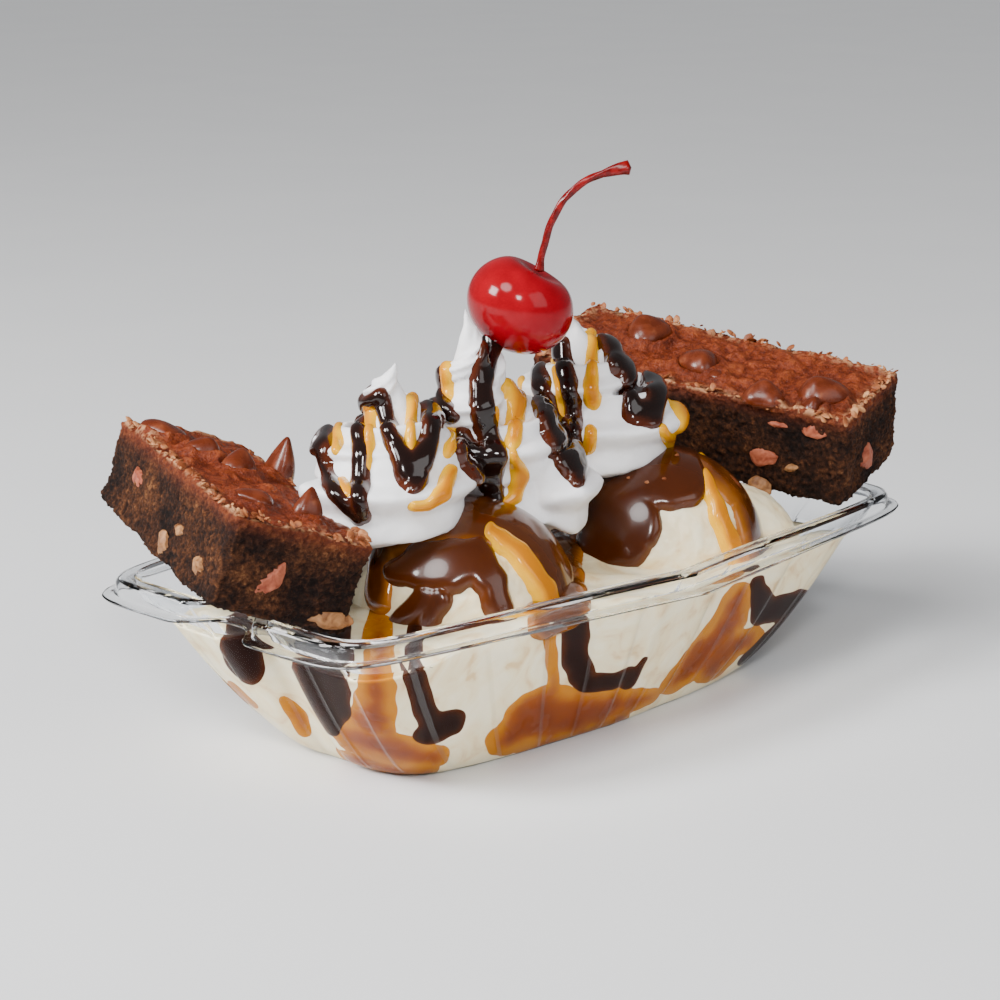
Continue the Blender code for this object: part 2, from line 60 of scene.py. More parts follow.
def new_material(name):
    """Fresh material with its node tree, and its shader."""
    made = bpy.data.materials.new(name)
    made.use_nodes = True
    return made, made.node_tree, made.node_tree.nodes["Principled BSDF"]


def node(tree, kind, **inputs):
    """Node of one kind; each input is a value, or a socket to join it to."""
    made = tree.nodes.new(kind)
    for name, value in inputs.items():
        socket = made.inputs[int(name[1:]) if name[0] == "_" else name.replace("_", " ")]
        if isinstance(value, bpy.types.NodeSocket):
            tree.links.new(value, socket)
        else:
            socket.default_value = value
    return made


def give(shader, **values):
    """Set constants on a shader's own sockets."""
    for name, value in values.items():
        shader.inputs[name.replace("_", " ")].default_value = value


def place_of(tree, scale=1.0):
    """Object coordinates, which the textures are laid out in."""
    where = tree.nodes.new("ShaderNodeTexCoord").outputs["Object"]
    mapping = node(tree, "ShaderNodeMapping", Vector=where)
    mapping.inputs["Scale"].default_value = (scale, scale, scale)
    return mapping.outputs["Vector"]


def shades(tree, amount, *stops):
    """Colour ramp: each stop is a share and its red, green and blue."""
    ramp = node(tree, "ShaderNodeValToRGB", Fac=amount)
    while len(ramp.color_ramp.elements) < len(stops):
        ramp.color_ramp.elements.new(0.5)
    for element, (share, colour) in zip(ramp.color_ramp.elements, stops):
        element.position = share
        element.color = (*colour, 1.0)
    return ramp.outputs["Color"]


def tint(tree, shader, amount, *stops):
    """Base colour that wanders with a node's number; each stop is a share and its colour."""
    tree.links.new(shades(tree, amount.outputs[0], *stops), shader.inputs["Base Color"])


bpy.ops.mesh.primitive_plane_add(size=6.0, location=(0.0, 0.0, -0.0003))
table = bpy.context.object
table.name = "table"
paint, tree, shader = new_material("pale_table")
mottle = node(tree, "ShaderNodeTexNoise", Vector=place_of(tree, 3.0))
tint(tree, shader, mottle, (0.0, (0.70, 0.70, 0.71)), (1.0, (0.74, 0.74, 0.74)))
give(shader, Roughness=0.6)
table.data.materials.append(paint)


def lamp(name, place, size, power, aim=(0.0, 0.0, 0.05)):
    """Square soft box that faces the sundae."""
    bpy.ops.object.light_add(type="AREA", location=place)
    made = bpy.context.object
    made.name = name
    made.rotation_euler = (Vector(place) - Vector(aim)).to_track_quat("Z", "Y").to_euler()
    made.data.size = size
    made.data.energy = power


lamp("soft_box", (-0.75, 0.30, 0.62), 0.30, 17.0)
lamp("front_lamp", (-0.60, -0.66, 0.66), 0.16, 6.0)
lamp("side_box", (0.10, -0.95, 0.55), 0.60, 3.0)
bpy.ops.object.light_add(type="SUN", location=(0.0, 0.0, 2.0))
window = bpy.context.object
window.name = "window_light"
window.rotation_euler = Vector((-0.70, -0.10, 0.95)).to_track_quat("Z", "Y").to_euler()
window.data.energy = 2.0
window.data.angle = radians(22)
window.data.specular_factor = 0.0
world = bpy.data.worlds.new("dim_walls")
world.use_nodes = True
world.node_tree.nodes["Background"].inputs["Color"].default_value = (0.93, 0.96, 1.0, 1.0)
world.node_tree.nodes["Background"].inputs["Strength"].default_value = 0.22
bpy.context.scene.world = world

# ------------------------------------------------------------------------------------- dish
# Boat dish of thin clear plastic, drawn down into a mould: fluted sides, a notch in the
# middle of each end, and a rim that is folded over into a flat band and a thin flange.
DISH_LENGTH, DISH_WIDTH, DISH_HEIGHT, DISH_WALL = 0.1866, 0.109, 0.0400, 0.0008
BASE_LENGTH, BASE_WIDTH = 0.113, 0.053
RIM_WIDTH, FLANGE_DROP = 0.0078, 0.0035
NOTCH_DEPTH, NOTCH_HALF_WIDTH = 0.0078, 0.0088
FLUTE_COUNT, FLUTE_DEPTH = 16, 0.0009
CREASE_WIDTH, CREASE_DEPTH = 0.16, 0.00030     # fold lines where each flute starts
RIM_FOOT = DISH_HEIGHT - 0.0060                # the thicker plastic of the rim starts here
FOLD_FOOT = 0.001                              # and the fold lines start here
WALL_RINGS, DISH_POINTS = 32, 768
ROUND_SQUEEZE = 0.62       # spreads the points evenly round the long outline


def corners(item):
    """Places of a piece's corners, one row each."""
    places = np.empty(len(item.data.vertices) * 3, np.float32)
    item.data.vertices.foreach_get("co", places)
    return places.reshape(-1, 3).astype(np.float64)


def move_corners(item, places):
    """Put a piece's corners at new places."""
    item.data.vertices.foreach_set("co", np.ascontiguousarray(places, np.float32).ravel())
    item.data.update()


def boat_radius(angle, half_length, half_width, taper, corner):
    """Plan outline: blunt ends, long sides that close in from the middle."""
    along, across = np.abs(np.cos(angle)), np.abs(np.sin(angle))
    end = half_length / np.maximum(along, 1e-6)
    side = half_width / (across + taper * along)
    return (end ** -corner + side ** -corner) ** (-1.0 / corner)


def rim_radius(angle):
    """Outer edge of the rim, with a notch in the middle of each end."""
    radius = boat_radius(angle, DISH_LENGTH / 2, DISH_WIDTH / 2, 0.151, 14.0)
    return radius - NOTCH_DEPTH * np.exp(-(radius * np.sin(angle) / NOTCH_HALF_WIDTH) ** 4)


def wall_radius(angle, height, folded=1.0):
    """Outer face of the wall at a height above the base, with its fold lines or without."""
    share = np.clip(height / DISH_HEIGHT, 0.0, 1.0)
    base = boat_radius(angle, BASE_LENGTH / 2, BASE_WIDTH / 2, 0.06, 5.0)
    spread = base + (rim_radius(angle) - RIM_WIDTH - base) * share ** 0.70
    way_round = np.arctan2(np.sin(angle) / ROUND_SQUEEZE, np.cos(angle))
    wave = np.cos(FLUTE_COUNT * way_round)
    flute = 0.5 + 0.5 * np.tanh(2.5 * wave)
    crease = folded * np.exp(-(wave / CREASE_WIDTH) ** 2)
    return spread - (FLUTE_DEPTH * flute + CREASE_DEPTH * crease) * np.sin(pi * share) ** 0.5


def take_up(item):
    """Make one piece the only one that operators act on."""
    bpy.ops.object.select_all(action="DESELECT")
    bpy.context.view_layer.objects.active = item
    item.select_set(True)


def boat_shaped(name, profile, around):
    """Disc whose edge is drawn out ring by ring along a profile, and closed in the middle."""
    bpy.ops.mesh.primitive_circle_add(vertices=around, radius=1.0, fill_type="TRIFAN")
    made = bpy.context.object
    made.name = name
    bpy.ops.object.mode_set(mode="EDIT")
    bpy.ops.mesh.select_all(action="SELECT")
    bpy.ops.mesh.region_to_loop()
    for _ in profile:
        bpy.ops.mesh.extrude_region_move(TRANSFORM_OT_translate={"value": (0.0, 0.0, 1.0)})
    bpy.ops.mesh.merge(type="CENTER")
    bpy.ops.object.mode_set(mode="OBJECT")
    places = corners(made)
    ring = np.rint(places[:, 2]).astype(int)
    middle = np.hypot(places[:, 0], places[:, 1]) < 0.5
    way_round = np.arctan2(places[:, 1], places[:, 0])
    angle = np.arctan2(ROUND_SQUEEZE * np.sin(way_round), np.cos(way_round))
    heights = []
    for k, lay in enumerate(profile):
        on = (ring == k) & ~middle
        radius, height = lay(angle[on])
        places[on] = np.stack([radius * np.cos(angle[on]), radius * np.sin(angle[on]), height], 1)
        heights.append(height.mean())
    places[middle] = [(0.0, 0.0, heights[0] if k == 0 else heights[-1]) for k in ring[middle]]
    move_corners(made, places)
    take_up(made)
    bpy.ops.object.mode_set(mode="EDIT")
    bpy.ops.mesh.select_all(action="SELECT")
    bpy.ops.mesh.normals_make_consistent(inside=False)
    bpy.ops.object.mode_set(mode="OBJECT")
    return made


flange = DISH_HEIGHT - FLANGE_DROP
wall_heights = [0.75 * DISH_HEIGHT * (k / (WALL_RINGS - 1)) ** 1.7 for k in range(WALL_RINGS)]
profile = [lambda a, s=s: (s * wall_radius(a, 0.0), 0.0 * a) for s in (0.5, 0.9, 0.985)]
profile += [lambda a, h=h: (wall_radius(a, h), h + 0.0 * a) for h in wall_heights]
# The rim, as inset from its edge and height: out under it to the flange, and back over it.
top = DISH_HEIGHT
for inset, height in ((RIM_WIDTH + 0.0010, top - 0.0052), (RIM_WIDTH, top - 0.0020),
                      (RIM_WIDTH - 0.0006, top - 0.0011), (0.0043, top - 0.0011),
                      (0.0037, top - 0.0017), (0.0033, flange - 0.0003),
                      (0.0028, flange - 0.0006), (0.0003, flange - 0.0006),
                      (0.0000, flange - 0.0002), (0.0003, flange + 0.0001),
                      (0.0026, flange + 0.0002), (0.0029, flange + 0.0006),
                      (0.0031, top - 0.0009), (0.0037, top - 0.0002), (0.0046, top),
                      (RIM_WIDTH - 0.0003, top), (RIM_WIDTH + 0.0005, top - 0.0006),
                      (RIM_WIDTH + 0.0009, top - 0.0020)):
    profile.append(lambda a, d=inset, h=height: (rim_radius(a) - d, h + 0.0 * a))
profile += [lambda a, h=h: (wall_radius(a, h) - DISH_WALL, h + DISH_WALL + 0.0 * a)
            for h in reversed(wall_heights)]
profile += [lambda a, s=s: (s * (wall_radius(a, 0.0) - DISH_WALL), DISH_WALL + 0.0 * a)
            for s in (0.985, 0.9, 0.5)]
dish = boat_shaped("clear_dish", profile, DISH_POINTS)
bpy.ops.object.shade_smooth_by_angle(angle=radians(35))


def levels(tree, amount, low, high, new_low, new_high):
    """One number stretched from one range to another."""
    stretch = node(tree, "ShaderNodeMapRange", Value=amount)
    for name, value in (("From Min", low), ("From Max", high), ("To Min", new_low),
                        ("To Max", new_high)):
        stretch.inputs[name].default_value = value
    return stretch.outputs["Result"]


def gloss(tree, shader, noise, low, high):
    """Roughness that wanders with a noise, from low to high."""
    tree.links.new(levels(tree, noise.outputs[0], 0.3, 0.7, low, high), shader.inputs["Roughness"])


def bumps(tree, shader, noise, distance, strength):
    """Fine relief on a shader: how far it stands out, and how much of it shows."""
    bump = node(tree, "ShaderNodeBump", Height=noise.outputs[0], Strength=strength,
                Distance=distance)
    tree.links.new(bump.outputs["Normal"], shader.inputs["Normal"])


# Thin wall, rim and fold lines differ in how strongly they bend and mirror the light.
for name, bend in (("clear_plastic_wall", 1.08), ("clear_plastic_rim", 1.26),
                   ("clear_plastic_fold", 1.40)):
    clear, tree, shader = new_material(name)
    scuffs = node(tree, "ShaderNodeTexNoise", Vector=place_of(tree, 160.0), Detail=4.0)
    give(shader, Base_Color=(0.97, 0.985, 1.0, 1.0), Transmission_Weight=1.0, IOR=bend)
    gloss(tree, shader, scuffs, 0.01, 0.05)
    bumps(tree, shader, scuffs, 0.00002, 0.3)
    lamp_rays = node(tree, "ShaderNodeLightPath").outputs["Is Shadow Ray"]
    open_way = node(tree, "ShaderNodeBsdfTransparent", Color=(0.96, 0.97, 0.98, 1.0))
    mix = node(tree, "ShaderNodeMixShader", Fac=lamp_rays, _1=shader.outputs[0],
               _2=open_way.outputs[0])
    tree.links.new(mix.outputs[0], tree.nodes["Material Output"].inputs["Surface"])
    dish.data.materials.append(clear)
for face in dish.data.polygons:
    x, y, z = face.center
    on_fold = abs(np.cos(FLUTE_COUNT * np.arctan2(y / ROUND_SQUEEZE, x))) < CREASE_WIDTH
    if z > RIM_FOOT:
        face.material_index = 1
    elif on_fold and z > FOLD_FOOT:
        face.material_index = 2
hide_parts("dish")
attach(dish, "root")

# ------------------------------------------------------------- ice cream and sauce in the dish
# Soft vanilla ice cream fills the dish up to its sides. Fudge and caramel have run down
# between it and the wall, and pooled at the bottom.
BED_LEVEL, BED_END_LEVEL = 0.0345, 0.0255
FILL_INSET = 0.9 * DISH_WALL     # how far inside the wall's outer face the fill lies
FILL_POINTS = 640
LUMP_FOOT = 0.02                 # only the fill's top above this height is lumpy
SAUCE_SHEET, EDGE_SINK = 0.0005, 0.0010       # a layer's thickness, and how deep its edge sinks
SKIRT = 1.6                      # mm of each layer that are kept beyond its edge
ACROSS = np.array((0.6965, -0.7175, 0.0))     # to the right, seen from the front


def bed_level(places):
    """Uneven top of the bed, lower towards the ends."""
    x, y = places[:, 0], places[:, 1]
    fall = np.abs(x / (DISH_LENGTH / 2)) ** 3
    wave = 0.0012 * np.sin(70 * x + 0.6) * np.cos(95 * y) + 0.0005 * np.sin(310 * x + 200 * y)
    return BED_LEVEL + (BED_END_LEVEL - BED_LEVEL) * fall + wave


def bed_ring(share):
    """Ring on the wall, a share of the way from the floor to the bed's edge."""
    def lay(angle):
        reach = wall_radius(angle, BED_END_LEVEL, 0.0)
        edge = bed_level(np.stack([reach * np.cos(angle), reach * np.sin(angle)], 1))
        height = DISH_WALL / 2 + (edge - DISH_WALL / 2) * share
        return wall_radius(angle, height, 0.0) - FILL_INSET, height
    return lay


def top_ring(inner):
    """Ring on top of the bed, a share of the way out to its edge."""
    def lay(angle):
        reach = bed_ring(1.0)(angle)[0] * inner
        return reach, bed_level(np.stack([reach * np.cos(angle), reach * np.sin(angle)], 1))
    return lay


def copy_of(item, name):
    """Copy of a finished piece with a mesh of its own."""
    made = bpy.data.objects.new(name, item.data.copy())
    bpy.context.collection.objects.link(made)
    return made


def finish_step(item, kind, **settings):
    """Add a modifier and apply it."""
    take_up(item)
    step = item.modifiers.new("step", kind)
    for name, value in settings.items():
        setattr(step, name, value)
    bpy.ops.object.modifier_apply(modifier=step.name)


def normals_of(item):
    """Outward directions at a piece's corners, one row each."""
    ways = np.empty(len(item.data.vertices) * 3, np.float32)
    item.data.vertices.foreach_get("normal", ways)
    return ways.reshape(-1, 3).astype(np.float64)


def roughen(item, size, strength, group=""):
    """Push the surface in and out by a noise whose lumps have one size."""
    lumps = bpy.data.textures.new("lumps", "CLOUDS")
    lumps.noise_scale = size
    finish_step(item, "DISPLACE", texture=lumps, strength=strength, mid_level=0.5,
                vertex_group=group, texture_coords="LOCAL")


def number_each(item, name, values):
    """Store one number per corner, for a material to read."""
    store = item.data.attributes.new(name, "FLOAT", "POINT")
    store.data.foreach_set("value", np.ascontiguousarray(values, np.float32))


def inside_runs(places, runs, waver=0.25):
    """How deep each place lies in the runs of sauce, in mm, seen from the front.

    A run is a row of points: mm across, mm up, and the run's half width there."""
    flat = np.stack([places @ ACROSS, places[:, 2]], 1) * 1000
    deepest = np.full(len(flat), -99.0)
    for run in runs:
        for start, end in zip(run, run[1:] if len(run) > 1 else run):
            way = np.subtract(end[:2], start[:2]).astype(float)
            share = np.clip((flat - start[:2]) @ way / max(way @ way, 1e-9), 0.0, 1.0)
            gap = np.linalg.norm(flat - np.outer(share, way) - start[:2], axis=1)
            deepest = np.maximum(deepest, start[2] + (end[2] - start[2]) * share - gap)
    ripple = np.sin(0.9 * flat[:, 1] + 2 * np.sin(0.4 * flat[:, 0]))
    return deepest + waver * ripple * np.sin(0.7 * flat[:, 0] + 1.0)


def pour(base, name, runs, thickness, edge, finish, waver=0.25, soften=2, pressed=False):
    """Layer of sauce on a piece, round at its edges, and sunk a little where it ends.

    A pressed layer lies flat against the dish, and only its edge slopes."""
    made = copy_of(base, name)
    made.data.materials.clear()
    places = corners(made)
    inside = inside_runs(places, runs, waver)
    share = np.clip(inside / edge, 0.0, 1.0)
    if pressed:
        lift = thickness * np.clip(inside / edge, -1.0, 1.0)
    else:
        lift = thickness * np.sqrt(1.0 - (1.0 - share) ** 2)
        lift -= EDGE_SINK * np.clip(-inside, 0.0, 1.0)
    move_corners(made, places + normals_of(made) * lift[:, None])
    number_each(made, "depth", share)
    take_up(made)
    bpy.ops.object.mode_set(mode="EDIT")
    bpy.ops.mesh.select_mode(type="VERT")
    bpy.ops.mesh.select_all(action="DESELECT")
    bpy.ops.object.mode_set(mode="OBJECT")
    made.data.vertices.foreach_set("select", inside < -SKIRT)
    bpy.ops.object.mode_set(mode="EDIT")
    bpy.ops.mesh.delete(type="VERT")
    bpy.ops.object.mode_set(mode="OBJECT")
    if soften:
        finish_step(made, "SMOOTH", factor=0.5, iterations=soften)
    finish_step(made, "SOLIDIFY", thickness=SAUCE_SHEET, offset=-1.0)
    bpy.ops.object.shade_smooth()
    made.data.materials.append(finish)
    return made


profile = [lambda a, s=s: (s * (wall_radius(a, 0.0) - FILL_INSET), DISH_WALL / 2 + 0.0 * a)
           for s in (0.45, 0.85)]
profile += [bed_ring(share) for share in np.linspace(0.0, 1.0, 46) ** 1.25]
profile += [top_ring(inner) for inner in np.linspace(0.985, 0.05, 42)]
fill = boat_shaped("vanilla_fill", profile, FILL_POINTS)
for size, strength in ((0.018, 0.0020), (0.005, 0.0007)):
    places = corners(fill)
    reach = np.hypot(places[:, 0], places[:, 1])
    free = reach < 0.93 * wall_radius(np.arctan2(places[:, 1], places[:, 0]), places[:, 2])
    top = fill.vertex_groups.new(name="top")
    top.add([int(i) for i in np.nonzero(free & (places[:, 2] > LUMP_FOOT))[0]], 1.0, "REPLACE")
    roughen(fill, size, strength, "top")
    fill.vertex_groups.clear()
bpy.ops.object.shade_smooth()

vanilla, tree, shader = new_material("vanilla_ice_cream")
where = place_of(tree)
swirl = node(tree, "ShaderNodeTexNoise", Vector=where, Scale=95.0, Detail=5.0, Distortion=1.6)
tint(tree, shader, swirl, (0.30, (0.74, 0.52, 0.25)), (0.44, (0.89, 0.74, 0.45)),
     (0.62, (0.94, 0.83, 0.58)))
grain = node(tree, "ShaderNodeTexNoise", Vector=where, Scale=900.0, Detail=4.0)
gloss(tree, shader, swirl, 0.30, 0.48)
give(shader, Subsurface_Weight=0.12, Subsurface_Radius=(0.004, 0.003, 0.002), Subsurface_Scale=1.0)
bumps(tree, shader, grain, 0.00012, 0.5)
fill.data.materials.append(vanilla)
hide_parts("vanilla_bed")
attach(fill, "root")


def number(tree, name):
    """Number that a piece stores at each corner."""
    found = tree.nodes.new("ShaderNodeAttribute")
    found.attribute_name = name
    return found.outputs["Fac"]


def sauce(name, dark, middle, thin, roughness, shine=0.3, cloud=0.13):
    """Glossy sauce: dark where it is deep, paler towards its thin edge."""
    made, tree, shader = new_material(name)
    cloudy = node(tree, "ShaderNodeTexNoise", Vector=place_of(tree), Scale=140.0, Detail=3.0)
    amount = node(tree, "ShaderNodeMath", _0=number(tree, "depth"), _1=levels(
        tree, cloudy.outputs[0], 0.3, 0.7, -1.2 * cloud, 0.8 * cloud))
    tint(tree, shader, amount, (0.10, thin), (0.55, middle), (0.95, dark))
    gloss(tree, shader, cloudy, roughness, roughness + 0.08)
    give(shader, Coat_Weight=shine, Specular_IOR_Level=0.9 * shine + 0.05, Coat_Roughness=0.05)
    bumps(tree, shader, cloudy, 0.0002, 0.25)
    return made


fudge = sauce("fudge", (0.050, 0.0100, 0.0012), (0.062, 0.0130, 0.0015),
              (0.090, 0.0210, 0.0030), 0.18, shine=0.25)
wall_fudge = sauce("fudge_by_wall", (0.014, 0.0040, 0.0026), (0.020, 0.0055, 0.0030),
                   (0.060, 0.014, 0.004), 0.30, shine=0.0)
deep_caramel = sauce("deep_caramel", (0.17, 0.027, 0.0), (0.25, 0.052, 0.0),
                     (0.46, 0.16, 0.0), 0.22, shine=0.10, cloud=0.26)
# Each run is a row of points: mm across, mm up, half width in mm.
FUDGE_IN_DISH = (
    ((-59.5, 27, 4.6), (-59, 22.5, 4.4)),
    ((-41.5, 28.5, 6.1), (-40.5, 19, 5.1), (-40, 12, 2.1)),
    ((-23, 31.5, 2), (-22.5, 29, 2.2), (-20.5, 19, 2.4), (-19, 14, 2.7)),
    ((-20, 13, 3.3), (-16, 14.5, 3.7)),
    ((10.5, 31.5, 3.1), (10.5, 22.5, 3), (13, 15.5, 2.8), (19, 14, 2.6), (23, 14.5, 2.2)),
    ((22.5, 12, 2), (26, 17.5, 0.7)),
    ((52.5, 27.5, 2), (55.5, 17.5, 3.7), (63.5, 16, 4.2)),
    ((52.5, 4.5, 2.6), (62, 11, 3)),
)
CARAMEL_IN_DISH = (
    ((-62.5, 14.5, 1.5), (-59, 11, 1.9)),
    ((-51, 14.5, 1.3), (-48, 10.5, 2.3), (-47, 6.5, 1.5)),
    ((-30.5, 31, 3.3), (-30, 26.5, 4), (-31.5, 16.5, 5.1)),
    ((-35, 11, 5.2), (-26, 8.5, 5.4), (-19, 6, 3.3)),
    ((-37, 3, 3), (-29.5, 2, 3.3), (-21, 2, 2.9)),
    ((-3.5, 6, 5.1), (3, 10, 8.1), (11, 6.5, 7.4), (19, 6.5, 5.5), (27.5, 5.5, 2.9)),
    ((1, 0.5, 3), (11, 1, 3), (21, 1.5, 2.7)),
    ((4.5, 35.5, 1.5), (6, 17.5, 1.3)),
    ((48, 25, 4.3), (46, 18.5, 5), (40.5, 11.5, 6.1), (34, 7, 4)),
    ((52, 10.5, 4.2), (48.5, 11, 4.6), (43, 6.5, 4.6)),
)
for name, runs, edge, finish, slot, nodes in (
        ("fudge_in_dish", FUDGE_IN_DISH, 2.0, wall_fudge, "fudge",
         ("fudge_left", "fudge_end", "fudge_middle", "fudge_right")),
        ("caramel_in_dish", CARAMEL_IN_DISH, 5.5, deep_caramel, "caramel",
         ("caramel_pool", "caramel_left", "caramel_right"))):
    layer = pour(fill, name, runs, 0.00012, edge, finish, soften=0, pressed=True)
    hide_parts(*nodes)
    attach(layer, "root")

# --------------------------------------------------------------------------------- scoops
# Balls of vanilla ice cream, pressed by a scoop, so their skin is torn in fine ridges. Hot
# fudge, a brown glaze and caramel were poured over them and ran down their fronts.
# Each scoop: its node, its middle, its half sizes, and how finely its ball is divided.
SCOOPS = (("scoop_left", (-0.0283, -0.0090, 0.0300), (0.0245, 0.0235, 0.0230), 7),
          ("scoop_right", (0.0330, -0.0120, 0.0310), (0.0230, 0.0225, 0.0230), 7),
          ("scoop_end", (0.0575, -0.0140, 0.0270), (0.0140, 0.0160, 0.0155), 6))


smooth_balls = []
for name, centre, radii, cuts in SCOOPS:
    bpy.ops.mesh.primitive_ico_sphere_add(subdivisions=cuts, radius=1.0)
    ball = bpy.context.object
    ball.name = name + "_ice"
    move_corners(ball, corners(ball) * radii + centre)
    smooth_balls.append(copy_of(ball, name + "_smooth"))
    roughen(ball, 0.010, 0.0012)
    roughen(ball, 0.0022, 0.0006)
    bpy.ops.object.shade_smooth()
    ball.data.materials.append(vanilla)
    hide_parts(name)
    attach(ball, "root")

glaze = sauce("brown_glaze", (0.075, 0.017, 0.0012), (0.17, 0.045, 0.002),
              (0.34, 0.11, 0.008), 0.12)
caramel = sauce("golden_caramel", (0.52, 0.165, 0.0), (0.66, 0.255, 0.0),
                (0.80, 0.40, 0.002), 0.16, shine=0.14)
FUDGE_ON_LEFT = (
    ((-28, 41.5, 2.1), (-22, 43.5, 4.2), (-16, 44, 5), (-10.5, 45, 4.2)),
    ((-10, 44.5, 3.8), (-7, 40.5, 3.3), (-5, 34, 2.7)),
    ((-20.5, 38, 2.9), (-29, 29.5, 1.9)),
    ((-18, 38, 2.7), (-21.5, 29.5, 1.9), (-21.5, 24.5, 1.7)),
)
GLAZE_ON_LEFT = (
    ((-32, 46.5, 3.4), (-24.5, 49.5, 3.8), (-16, 51, 3.8), (-6.5, 50.5, 3.8)),
    ((-5.5, 50.5, 3.4), (3, 45, 3.2), (7, 36.5, 3.4), (7.5, 29, 3)),
    ((-30, 45.5, 2.6), (-31, 36, 2.9)),
)
CARAMEL_ON_LEFT = (
    ((-7.5, 49, 1.5), (-1.5, 45, 1.9), (3.5, 38, 1.9), (5.5, 33.5, 1.9), (6, 26.5, 1.7)),
)
FUDGE_ON_RIGHT = (
    ((17.5, 48.5, 5.5), (28.5, 50.5, 5.4), (37, 50, 4.5)),
    ((16.5, 42, 5.6), (24, 42.5, 6.7)),
    ((17.5, 36.5, 5.4), (23, 38, 5.4)),
)
GLAZE_ON_TOP = (
    ((4.5, 34.5, 4.5), (8.5, 35.5, 4.7), (10.5, 35, 2.5)),
)
GLAZE_ON_RIGHT = (
    ((36.5, 54.5, 2.1), (42, 51.5, 2.1), (49, 45.5, 2.3), (52, 38, 3.4), (53, 30.5, 3.7)),
    ((12, 47, 3.2), (10, 35.5, 3.6), (11, 21.5, 3.7), (11.5, 14.5, 3.2)),
)
CARAMEL_ON_RIGHT = (
    ((40.5, 50.5, 1.1), (43, 44.5, 1.8), (46, 37.5, 2), (48.5, 29.5, 2)),
)
for name, base, runs, thickness, edge, finish, slot in (
        ("fudge_on_left", smooth_balls[0], FUDGE_ON_LEFT, 0.0017, 2.4, fudge, "fudge"),
        ("glaze_on_left", smooth_balls[0], GLAZE_ON_LEFT, 0.0012, 2.0, glaze, "caramel"),
        ("caramel_on_left", smooth_balls[0], CARAMEL_ON_LEFT, 0.0022, 1.4, caramel, "caramel"),
        ("fudge_on_right", smooth_balls[1], FUDGE_ON_RIGHT, 0.0017, 2.4, fudge, "fudge"),
        ("glaze_on_right", smooth_balls[1], GLAZE_ON_RIGHT, 0.0013, 2.4, glaze, "caramel"),
        ("caramel_on_right", smooth_balls[1], CARAMEL_ON_RIGHT, 0.0022, 1.4, caramel, "caramel"),
        ("glaze_on_top", fill, GLAZE_ON_TOP, 0.0012, 2.4, glaze, "caramel")):
    layer = pour(base, name, runs, thickness, edge, finish)
    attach(layer, "root")
for ball in smooth_balls:
    bpy.data.objects.remove(ball)

# -------------------------------------------------------------------------- whipped cream
# Three swirls of whipped cream, piped through a star nozzle that wound up to a drawn-out
# peak. Dark chocolate and caramel sauce were drizzled over them in thin ropes.
# Each swirl: middle of the foot, foot radius, height, lean of the peak, where its rope starts.
SWIRLS = (((-0.0425, 0.0010, 0.0480), 0.0222, 0.0366, (0.0035, -0.0010), 2.6),
          ((-0.0080, -0.0010, 0.0435), 0.0225, 0.0440, (-0.0040, 0.0010), 4.4),
          ((0.0285, 0.0020, 0.0485), 0.0230, 0.0410, (-0.0085, 0.0020), 1.9),
          ((-0.0185, -0.0015, 0.0635), 0.0100, 0.0310, (-0.0010, 0.0000), 0.2))
ROPE_TURNS, ROPE_RIDGES, ROPE_TWIST, GROOVE_DEPTH = 2.2, 6, 16.0, 0.30
CREAM_VOXEL = 0.0005


def rope_of_cream(foot, radius, height, lean, turn):
    """Star-shaped rope that winds inwards and up, and ends in a drawn-out peak."""
    bpy.ops.mesh.primitive_uv_sphere_add(segments=70, ring_count=420, radius=1.0)
    made = bpy.context.object
    places = corners(made)
    share = 1.0 - np.arccos(np.clip(places[:, 2], -1, 1)) / pi
    around = np.arctan2(places[:, 1], places[:, 0])
    thick = radius * (0.44 - 0.33 * share ** 1.2)

    def middle(s):
        s = np.clip(s, 0.0, 1.0)
        heading = turn + tau * ROPE_TURNS * s
        out = radius * (0.56 + 0.33 * s ** 1.2) * (1.0 - s) ** 0.85
        rise = 0.30 * radius + (height - 0.30 * radius) * (0.68 * s + 0.32 * s ** 6)
        return np.stack([foot[0] + out * np.cos(heading) + lean[0] * s,
                         foot[1] + out * np.sin(heading) + lean[1] * s, foot[2] + rise], 1)

    spot = middle(share)
    ahead = middle(share + 0.004) - middle(share - 0.004)
    ahead /= np.linalg.norm(ahead, axis=1)[:, None]
    aside = np.cross(ahead, (0.0, 0.0, 1.0))
    aside /= np.maximum(np.linalg.norm(aside, axis=1), 1e-6)[:, None]
    over = np.cross(aside, ahead)
    ridge = np.abs(np.sin(0.5 * (ROPE_RIDGES * around + ROPE_TWIST * share + turn)))
    star = 1.0 - GROOVE_DEPTH * ridge ** 1.4
    star += 0.08 + 0.05 * np.sin(31.0 * share + 2.0 * around)
    ends = np.minimum(1.0, np.sqrt(share / 0.03)) * np.minimum(1.0, ((1.0 - share) / 0.10) ** 0.8)
    size = (thick * star * ends)[:, None]
    around = around[:, None]
    move_corners(made, spot + size * (np.cos(around) * aside + np.sin(around) * over))
    return made


def core_of_cream(foot, radius, height, lean, turn):
    """Heart of a swirl, which its rope is wound round."""
    bpy.ops.mesh.primitive_uv_sphere_add(segments=48, ring_count=32, radius=1.0)
    made = bpy.context.object
    places = corners(made)
    rise = 0.5 + 0.5 * places[:, 2]
    reach = 0.80 * radius * np.minimum(1.0, rise / 0.08) ** 0.5 * (1.0 - rise ** 1.2)
    around = np.arctan2(places[:, 1], places[:, 0])
    move_corners(made, np.stack([foot[0] + reach * np.cos(around) + lean[0] * rise,
                                 foot[1] + reach * np.sin(around) + lean[1] * rise,
                                 foot[2] + 0.9 * height * rise], 1))
    return made


